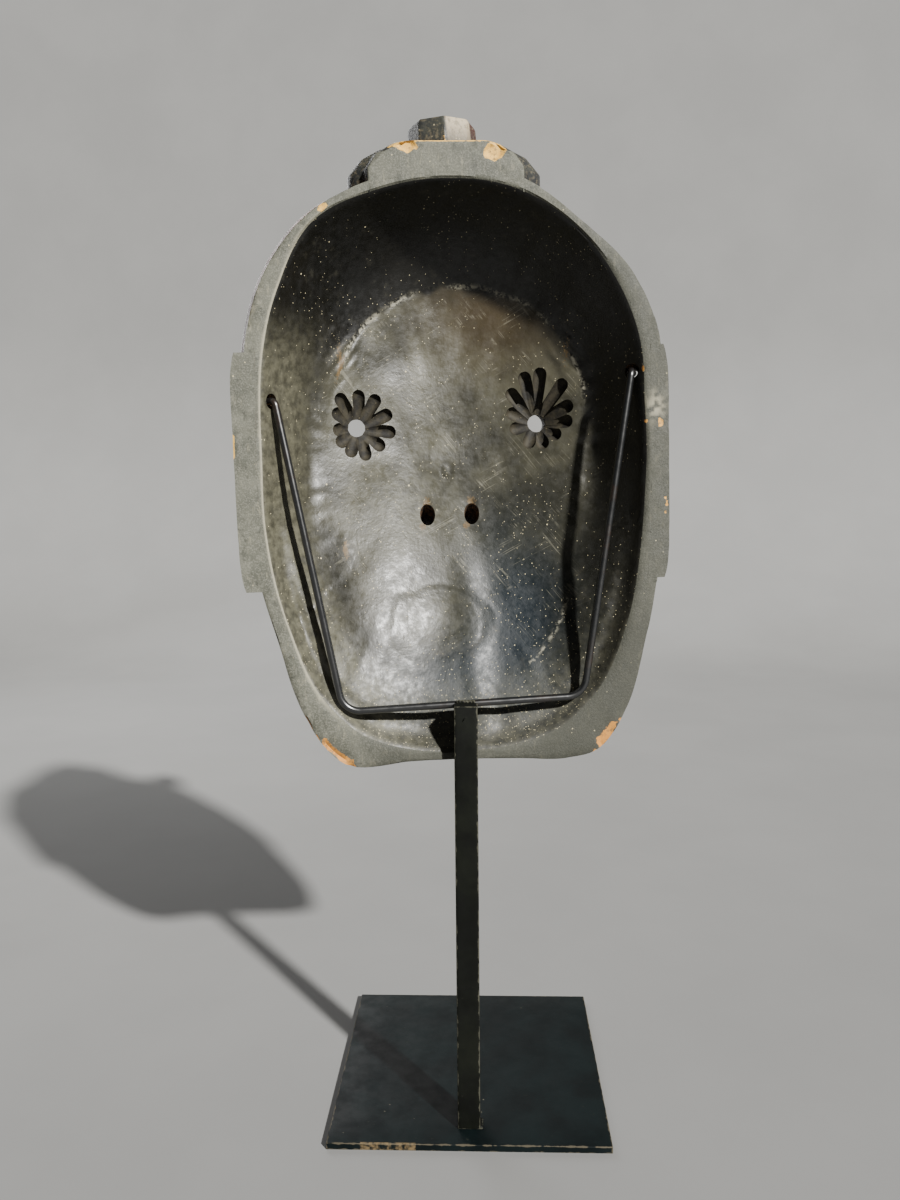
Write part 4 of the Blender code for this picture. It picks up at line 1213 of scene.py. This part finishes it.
def add_marks(mask):
    """Where dust, bare wood, hair, painted shade, painted highlights and the rest lie, as values on the
    points.
    """
    mesh = mask.data
    co = np.zeros(len(mesh.vertices) * 3)
    mesh.vertices.foreach_get("co", co)
    x, y, z = co.reshape(-1, 3).T
    theta = np.arctan2(z, x)
    rho = np.hypot(x, z) / rim_radius(theta, 2)
    wall = fade(rho, 0.70, 0.90)
    low = fade(-z, 0.02, 0.20)
    side = np.abs(x)
    marks = {}
    dust = 0.35 + 0.40 * swells(x, z, 0.035, 0.035, 101) + 0.35 * swells(x, z, 0.010, 0.010, 112)
    dust = dust + 0.7 * mound(x, z, -0.05, -0.09, 0.06, 0.09)
    marks["dust"] = np.clip(dust + 0.8 * low * wall, 0.05, 1)
    grime = fade(-z, 0.150, 0.175) * wall * (0.6 + 0.4 * swells(x, z, 0.02, 0.02, 102))
    for patch in ((NOSTRIL_X, TORN_Z), (-NOSTRIL_X, TORN_Z), WALL_CHIP, (0.077, 0.075)):
        grime = grime + 0.8 * mound(x, z, *patch, 0.007, 0.009)
    marks["grime"] = np.clip(grime, 0, 1)
    # The rim darker towards -x and towards the bottom
    rim_darkening = 0.55 * fade(-x, 0.03, 0.12) + 0.65 * fade(-z, 0.08, 0.19) * fade(0.10 - x, 0, 0.06)
    marks["rim_darkening"] = np.clip(rim_darkening, 0, 0.75)
    # A pale line on the inner edge on the +x side is painted highlight; the two scuffs below are rubbed
    # wear
    marks["rubbed"] = 0.5 * ridge(rho - 1.004, 0.004) * fade(x, 0.07, 0.11) * fade(y, -0.006, -0.003)
    scuff = mound(x, z, -0.1375, 0.030, 0.006, 0.009) + 0.5 * mound(x, z, 0.130, 0.105, 0.006, 0.014)
    marks["rubbed"] = marks["rubbed"] + 0.6 * scuff * fade(swells(x, z, 0.0025, 0.0025, 106), -0.4, 0.6)
    # Pale haze on the +x wall and low down; the patches on the floor beside the nose and over the dent
    # behind the mouth are painted highlights
    haze_and_highlight = 1.1 * wall * fade(x, 0.02, 0.09) * (1 - fade(z, 0.05, 0.11)) + 0.5 * wall * low
    haze_and_highlight = haze_and_highlight + 0.8 * mound(x, z, 0.034, -0.030, 0.034, 0.034)
    haze_and_highlight = haze_and_highlight + 0.5 * mound(x, z, 0.018, -0.112, 0.035, 0.030)
    marks["haze_and_highlight"] = np.clip(haze_and_highlight, 0, 1)
    scar = oval(x, z, *SCAR)
    upper = fade(z, 0.015, 0.045)
    ragged = scar + 0.030 * swells(x, z, 0.011, 0.011, 107) + 0.015 * swells(x, z, 0.004, 0.004, 108)
    # The film covers the floor; past its ragged top edge and low down it fades, leaving the dark base as
    # painted shade
    film_end = 1.01 + 0.25 * fade(x, 0.02, 0.07) * (1 - fade(z, 0.06, 0.10))
    film_and_shade = upper * (1 - fade(ragged, 0.96, film_end)) + (1 - upper) * (1 - fade(rho, 0.62, 0.86))
    film_and_shade = film_and_shade * (1 - 0.85 * low) * (0.9 + 0.2 * swells(x, z, 0.02, 0.02, 104))
    marks["film_and_shade"] = np.clip(film_and_shade, 0, 1)
    # Blue tint and painted shade in a patch low towards -x and along the chin
    blue_tint_and_shade = mound(x, z, -0.043, -0.108, 0.042, 0.068) + mound(x, z, 0.000, -0.163, 0.065, 0.028)
    marks["blue_tint_and_shade"] = np.clip(blue_tint_and_shade, 0, 1)
    marks["warm"] = np.clip(0.6 * mound(x, z, -0.040, 0.110, 0.050, 0.040), 0, 1)
    wavy = scar + 0.010 * swells(x, z, 0.014, 0.014, 109)
    second = 0.7 * ridge(wavy - 0.940, 0.009) * fade(swells(x, z, 0.02, 0.02, 110), 0, 0.5)
    scored = ridge(wavy - 1.000, 0.013) + second
    arc = np.hypot(x - 0.0061, z + 0.0781) - 0.0904
    scratch = 0.8 * ridge(arc, 0.0008) * fade(z, -0.150, -0.146)
    scratch = scratch * (1 - fade(z, -0.104, -0.100)) * fade(-x, 0.02, 0.03)
    pits = mound(side, z, NOSTRIL_X, TORN_Z, 0.0050, 0.0060)
    pits = pits * fade(swells(x, z, 0.0025, 0.0025, 113), -0.6, 0.2)
    peg = ridge(oval(x, z, *PEG) - 1, 0.22)
    # Dark tone in the crease lines is painted shade; the pits above the nostrils and the joint round the
    # plug are dark too
    crease_shade_and_pits = np.clip(0.9 * creases(x, z) + pits + 0.7 * peg, 0, 1)
    marks["crease_shade_and_pits"] = crease_shade_and_pits * (1 - fade(rho, 0.80, 0.85))
    scored = scored * fade(z, 0.030, 0.050) * fade(swells(x, z, 0.013, 0.013, 111), -0.5, 0.3)
    marks["scored"] = scratch + np.clip(scored, 0, 1)
    bare = 0
    for chip in CHIPS:
        bare = np.maximum(bare, 1 - fade(chip_distance(x, z, chip), 0.75, 1.25))
    bare = bare * fade(y, -0.008, -0.004)
    strip = ridge(scar - 1, 0.012) * upper * fade(swells(x, z, 0.016, 0.016, 105), -0.1, 0.6)
    scraped = 0.50 * strip
    for side_of in (1, -1):
        scraped = scraped + 0.55 * mound(x, z, side_of * NOSTRIL_X, -0.031, 0.0052, 0.0062)
        scraped = scraped + 0.70 * mound(x, z, side_of * NOSTRIL_X + 0.004, -0.0485, 0.0035, 0.0035)
    scraped = scraped + 0.55 * mound(x, z, *WALL_CHIP, 0.0035, 0.012)
    scraped = scraped + 0.45 * mound(x, z, 0.076, 0.075, 0.004, 0.016)
    scraped = scraped + 0.45 * mound(x, z, -0.086, 0.074, 0.005, 0.018)
    marks["bare"] = np.maximum(bare, scraped * (1 - fade(y, -0.030, -0.020)) * fade(y, -0.09, -0.08))
    marks["orange"] = np.clip(0.7 * fade(-z, 0.10, 0.16) + 0.35 * fade(-x, 0.115, 0.120), 0, 1)
    hair, strands = hair_marks(x, z)
    front = fade(-y, 0.060, 0.080) * (1 - fade(-y, 0.150, 0.160))
    marks["hair"] = fade(hair, 0.45, 0.70) * front
    relief = face_relief(x, z)
    marks["hollowed"] = fade(-relief, 0.0, 0.006) * front
    marks["proud"] = np.clip(fade(relief, 0.008, 0.020) * front + fade(-y, 0.17, 0.25), 0, 1)
    eye = oval(side, z, *EYE_BALL)
    marks["gold"] = (1 - fade(eye, 0.90, 1.0)) * front
    # On the knob: one facet painted pale as a highlight, and the facet beyond it red
    on_knob = (z > KNOB_PAINT_Z).astype(float)
    marks["pale"] = on_knob * fade(-x, *KNOB_PALE) * (1 - fade(-x, *KNOB_RED))
    marks["red"] = on_knob * fade(-x, *KNOB_RED)
    for name, values in marks.items():
        attribute = mesh.attributes.new(name, "FLOAT", "POINT")
        attribute.data.foreach_set("value", np.asarray(values, np.float32))


def near_edges(tree, at, centre, half):
    """1 on a ragged strip along a block's edges, where two of its faces meet."""
    away = add_node(tree, "ShaderNodeVectorMath", {0: at, 1: centre}, operation="SUBTRACT")
    parts = add_node(tree, "ShaderNodeSeparateXYZ", {"Vector": away}).node.outputs
    ragged = patches(tree, at, 6, 0.30, 0.80, 0.0015)
    count = 0.0
    for part, reach in zip(parts, half):
        size = add_node(tree, MATH, {0: part}, operation="ABSOLUTE")
        inside = add_node(tree, MATH, {0: reach, 1: size}, operation="SUBTRACT")
        close = add_node(tree, MATH, {0: inside, 1: ragged}, operation="LESS_THAN")
        count = add_node(tree, MATH, {0: close, 1: count}, operation="ADD")
    return add_node(tree, MATH, {0: count, 1: 1.5}, operation="GREATER_THAN")


def blackened_steel(name, low, high, dark, light, edge_tone, dusty):
    """Hot-rolled steel blackened and waxed: near black and satin, cloudy, its edges rubbed pale."""
    made, tree, shader = new_material(name)
    at = add_node(tree, "ShaderNodeTexCoord", output="Object")
    cloud = patches(tree, at, 35, 0.35, 0.65)
    base = add_node(tree, MIX, {0: cloud, 6: colour(dark), 7: colour(light)}, 2, data_type="RGBA")
    edge = near_edges(tree, at, (low + high) / 2, (high - low) / 2)
    share = add_node(tree, MATH, {0: edge, 1: 0.55}, operation="MULTIPLY")
    base = add_node(tree, MIX, {0: share, 6: base, 7: colour(edge_tone)}, 2, data_type="RGBA")
    rubbed = patches(tree, at, 3.0, 0.64, 0.76, 0.35)
    base = add_node(tree, MIX, {0: rubbed, 6: base, 7: colour("#3a3a33")}, 2, data_type="RGBA")
    dots = specks(tree, at, 8.0, 0.25, 0.60, 0.20)
    share = add_node(tree, MATH, {0: dots, 1: 0.5}, operation="MULTIPLY")
    base = add_node(tree, MIX, {0: share, 6: base, 7: colour("#8b846f")}, 2, data_type="RGBA")
    if dusty:
        # Tan dust on the front edge of the plate, at one end of it
        parts = add_node(tree, "ShaderNodeSeparateXYZ", {"Vector": at}).node.outputs
        start, end, front = DUSTY_EDGE
        middle, half = (start + end) / 2, (end - start) / 2
        share = add_node(tree, MATH, {0: parts[0], 1: middle, 2: half}, operation="COMPARE")
        facing = add_node(tree, MATH, {0: parts[1], 1: front}, operation="GREATER_THAN")
        share = add_node(tree, MATH, {0: share, 1: facing}, operation="MULTIPLY")
        crumbs = patches(tree, at, 5.0, 0.40, 0.60, 0.8)
        share = add_node(tree, MATH, {0: share, 1: crumbs}, operation="MULTIPLY")
        base = add_node(tree, MIX, {0: share, 6: base, 7: colour("#6a5a40")}, 2, data_type="RGBA")
    tree.links.new(base, shader.inputs["Base Color"])
    satin = patches(tree, at, 12, 0.30, 0.70)
    rough = add_node(tree, RANGE, {"Value": satin, "To Min": 0.50, "To Max": 0.64})
    tree.links.new(rough, shader.inputs["Roughness"])
    scale = add_node(tree, NOISE, {"Vector": at, "Scale": per_mm(1.4), "Detail": 4.0})
    normal = add_node(tree, BUMP, {"Height": scale, "Distance": 0.00004})
    tree.links.new(normal, shader.inputs["Normal"])
    shader.inputs["Specular IOR Level"].default_value = 0.12
    return made


def rod_steel():
    """Drawn steel rod, blackened and polished by handling: a thin bright line on near black."""
    made, tree, shader = new_material("blackened_drawn_steel")
    at = add_node(tree, "ShaderNodeTexCoord", output="Object")
    rust = patches(tree, at, 30, 0.52, 0.70, 0.6)
    base = add_node(tree, MIX, {0: rust, 6: colour("#0e0f10"), 7: colour("#2e1e12")}, 2, data_type="RGBA")
    tree.links.new(base, shader.inputs["Base Color"])
    satin = patches(tree, at, 5, 0.30, 0.70)
    rough = add_node(tree, RANGE, {"Value": satin, "To Min": 0.28, "To Max": 0.34})
    tree.links.new(rough, shader.inputs["Roughness"])
    drawn = add_node(tree, NOISE, {"Vector": at, "Scale": per_mm(1.2), "Detail": 3.0})
    normal = add_node(tree, BUMP, {"Height": drawn, "Distance": 0.00001})
    tree.links.new(normal, shader.inputs["Normal"])
    shader.inputs["Specular IOR Level"].default_value = 1.0
    return made


def rounded_path(corners, radii, steps):
    """Points along straight runs joined by arcs."""
    points = [corners[0]]
    for i in range(1, len(corners) - 1):
        here = corners[i]
        to_last = (corners[i - 1] - here).normalized()
        to_next = (corners[i + 1] - here).normalized()
        half = to_last.angle(to_next) / 2
        cut = radii[i - 1] / math.tan(half)
        centre = here + (to_last + to_next).normalized() * (radii[i - 1] / math.sin(half))
        first = (here + to_last * cut - centre).normalized()
        last = (here + to_next * cut - centre).normalized()
        for k in range(steps + 1):
            points.append(centre + radii[i - 1] * first.slerp(last, k / steps))
    return [*points, corners[-1]]


def tube(name, points, radii, finish, resolution):
    """Round bar along a line of points, with its own radius at each."""
    curve = bpy.data.curves.new(name, "CURVE")
    curve.dimensions = "3D"
    curve.bevel_depth = 1.0
    curve.bevel_resolution = resolution
    curve.use_fill_caps = True
    spline = curve.splines.new("POLY")
    spline.points.add(len(points) - 1)
    for point, place, radius in zip(spline.points, points, radii):
        point.co = (*place, 1.0)
        point.radius = radius
    obj = bpy.data.objects.new(name, curve)
    bpy.context.scene.collection.objects.link(obj)
    activate(obj)
    bpy.ops.object.convert(target="MESH")
    obj = bpy.context.view_layer.objects.active
    obj.data.materials.clear()
    obj.data.materials.append(finish)
    bpy.ops.object.shade_smooth_by_angle(angle=math.radians(50))
    return obj


def cradle_rod(finish):
    """The U rod: bottom run behind the post, two uprights and hooks in the cord holes."""
    pose = mask_pose()
    yaw = math.radians(MASK_YAW)
    turned = ((POST_HIGH.x - POST_LOW.x) / 2 - MASK_PLACE.x) * math.tan(yaw)
    behind = RIM_BEHIND_POST - GAP - turned - ROD_RADIUS / math.cos(yaw)
    corners = [
        HOOK_LEFT + HOLE_LEFT * HOOK_LENGTH,
        HOOK_LEFT,
        Vector((ROD_CORNER_LEFT[0], behind, ROD_CORNER_LEFT[1])),
        Vector((ROD_CORNER_RIGHT[0], behind, ROD_CORNER_RIGHT[1])),
        HOOK_RIGHT,
        HOOK_RIGHT + HOLE_RIGHT * HOOK_LENGTH,
    ]
    corners = [pose @ corner for corner in corners]
    path = rounded_path(corners, (ROD_HOOK_BEND, ROD_BEND, ROD_BEND, ROD_HOOK_BEND), 14)
    rod = tube("bent_rod", path, [ROD_RADIUS] * len(path), finish, 8)
    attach(rod, ROOT)
    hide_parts("cradle_rod")
    return rod


def edged_box(name, low, high, edge, cuts, finish, node):
    """Square stock with softly broken edges and hand-worn faces."""
    deselect()
    centre = (low + high) / 2
    bpy.ops.mesh.primitive_cube_add(size=1.0, location=centre, scale=high - low)
    obj = bpy.context.active_object
    obj.name = name
    bpy.ops.object.transform_apply(location=True, rotation=True, scale=True)
    edit_all(obj)
    bpy.ops.mesh.subdivide(number_cuts=cuts)
    bpy.ops.object.mode_set(mode="OBJECT")
    bevel = obj.modifiers.new("edge", "BEVEL")
    bevel.width = edge
    bevel.segments = 3
    bevel.angle_limit = math.radians(60)
    apply_modifiers(obj)
    obj.data.materials.append(finish)
    bpy.ops.object.shade_smooth_by_angle(angle=math.radians(35))
    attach(obj, ROOT)
    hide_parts(node)
    return obj


def weld_bead(name, points, radius, seed, finish):
    """Short bead of weld: overlapping ripples along a line."""
    fine = []
    radii = []
    for start, end in zip(points, points[1:]):
        steps = max(4, int((end - start).length / 0.0006))
        for k in range(steps):
            t = k / steps
            place = start.lerp(end, t)
            ripple = 0.16 * math.cos(2 * math.pi * len(fine) / 4)
            ripple = ripple + 0.10 * float(swells(len(fine), seed, 5, 1, seed))
            fine.append(place)
            radii.append(radius * (1 + ripple))
    radii[0] = radii[-1] = radius * 0.55
    bead = tube(name, fine, radii, finish, 4)
    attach(bead, ROOT)
    return bead


def stand():
    """Plate, post and rod with their finishes, and the beads of weld."""
    plate_finish = blackened_steel(
        "plate_blackened_steel", PLATE_LOW, PLATE_HIGH, "#04090a", "#091112", "#5a5344", True
    )
    post_finish = blackened_steel(
        "post_blackened_steel", POST_LOW, POST_HIGH, "#080907", "#0f110c", "#4c4b40", False
    )
    rod_finish = rod_steel()
    edged_box("square_base_plate", PLATE_LOW, PLATE_HIGH, 0.0005, 6, plate_finish, "base_plate")
    edged_box("flat_bar_post", POST_LOW, POST_HIGH, 0.0007, 5, post_finish, "post")
    cradle_rod(rod_finish)
    foot = POST_LOW.z + 0.0002
    weld_bead("foot_weld", [
        Vector((POST_LOW.x - 0.0004, POST_HIGH.y - 0.001, foot)),
        Vector((POST_LOW.x - 0.0004, POST_LOW.y, foot)),
    ], 0.0014, 7, post_finish)
    spatter = Vector((0.0010, POST_HIGH.y, POST_HIGH.z - 0.009))
    weld_bead("weld_spatter", [spatter, spatter + Vector((0.0006, 0, 0.0003))], 0.0015, 5, rod_finish)
    top = POST_HIGH.z
    weld_bead("rod_weld", [
        Vector((POST_HIGH.x - 0.001, POST_LOW.y - 0.0006, top + 0.0004)),
        Vector((POST_LOW.x + 0.001, POST_LOW.y - 0.0006, top + 0.0004)),
    ], 0.0013, 9, post_finish)


def studio():
    """Plain pale floor and backdrop, one key light and soft fill."""
    made, tree, shader = new_material("pale_paper")
    at = add_node(tree, "ShaderNodeTexCoord", output="Object")
    cloud = patches(tree, at, 300, 0.3, 0.7)
    base = add_node(tree, MIX, {0: cloud, 6: colour("#747473"), 7: colour("#787877")}, 2, data_type="RGBA")
    tree.links.new(base, shader.inputs["Base Color"])
    shader.inputs["Roughness"].default_value = 0.9
    deselect()
    bpy.ops.mesh.primitive_plane_add(size=1.0)
    floor = bpy.context.active_object
    floor.name = "paper_floor"
    floor.scale = (12.0, 9.0, 1.0)
    floor.location = (0.0, 1.9, 0.0)
    bpy.ops.object.transform_apply(location=True, rotation=False, scale=True)
    bpy.ops.object.mode_set(mode="EDIT")
    bpy.ops.mesh.select_all(action="DESELECT")
    bpy.ops.object.mode_set(mode="OBJECT")
    for edge in floor.data.edges:
        ends = [floor.data.vertices[i].co.y for i in edge.vertices]
        edge.select = max(ends) < -2.0
    bpy.ops.object.mode_set(mode="EDIT")
    bpy.ops.mesh.select_mode(type="EDGE")
    bpy.ops.mesh.extrude_region_move(TRANSFORM_OT_translate={"value": (0, 0, 4.0)})
    bpy.ops.object.mode_set(mode="OBJECT")
    bend = floor.modifiers.new("sweep", "BEVEL")
    bend.width = 1.0
    bend.segments = 16
    apply_modifiers(floor)
    bpy.ops.object.shade_smooth()
    floor.data.materials.append(made)

    world = bpy.data.worlds.new("studio_air")
    bpy.context.scene.world = world
    world.use_nodes = True
    world.node_tree.nodes["Background"].inputs["Color"].default_value = colour("#c9cccf")
    world.node_tree.nodes["Background"].inputs["Strength"].default_value = 0.02

    around, height = math.radians(KEY_AROUND), math.radians(KEY_HEIGHT)
    level = math.cos(height)
    towards = Vector((-math.sin(around) * level, math.cos(around) * level, math.sin(height)))
    key = bpy.data.lights.new("key", "SUN")
    key.energy = 11.0
    key.angle = math.radians(2.5)
    key.color = (1.0, 0.985, 0.95)
    key_object = bpy.data.objects.new("key", key)
    key_object.rotation_euler = towards.to_track_quat("Z", "Y").to_euler()
    key_object.location = towards * 3
    bpy.context.scene.collection.objects.link(key_object)

    fill = bpy.data.lights.new("front_fill", "AREA")
    fill.energy = 22.0
    fill.size = 1.2
    fill_object = bpy.data.objects.new("front_fill", fill)
    fill_object.location = (0.9, -1.5, 1.2)
    aim = Vector((0, 0, 0.45)) - fill_object.location
    fill_object.rotation_euler = aim.to_track_quat("-Z", "Y").to_euler()
    bpy.context.scene.collection.objects.link(fill_object)


def camera():
    """Camera at the place and turn that the photograph was taken from."""
    turn = Matrix.Rotation(math.radians(180 + CAMERA_YAW), 4, "Z")
    tilt = Matrix.Rotation(math.radians(90 + CAMERA_PITCH), 4, "X")
    roll = Matrix.Rotation(math.radians(-CAMERA_ROLL), 4, "Z")
    data = bpy.data.cameras.new("view")
    data.sensor_width = SENSOR
    data.lens = FOCAL_PIXELS / FRAME_HEIGHT * SENSOR
    data.clip_start = 0.01
    obj = bpy.data.objects.new("view", data)
    obj.matrix_world = Matrix.Translation(CAMERA_PLACE) @ turn @ tilt @ roll
    bpy.context.scene.collection.objects.link(obj)
    bpy.context.scene.camera = obj


def main():
    camera()
    studio()
    mask = carved_mask()
    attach(mask, ROOT)
    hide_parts("carved_mask")
    stand()


main()
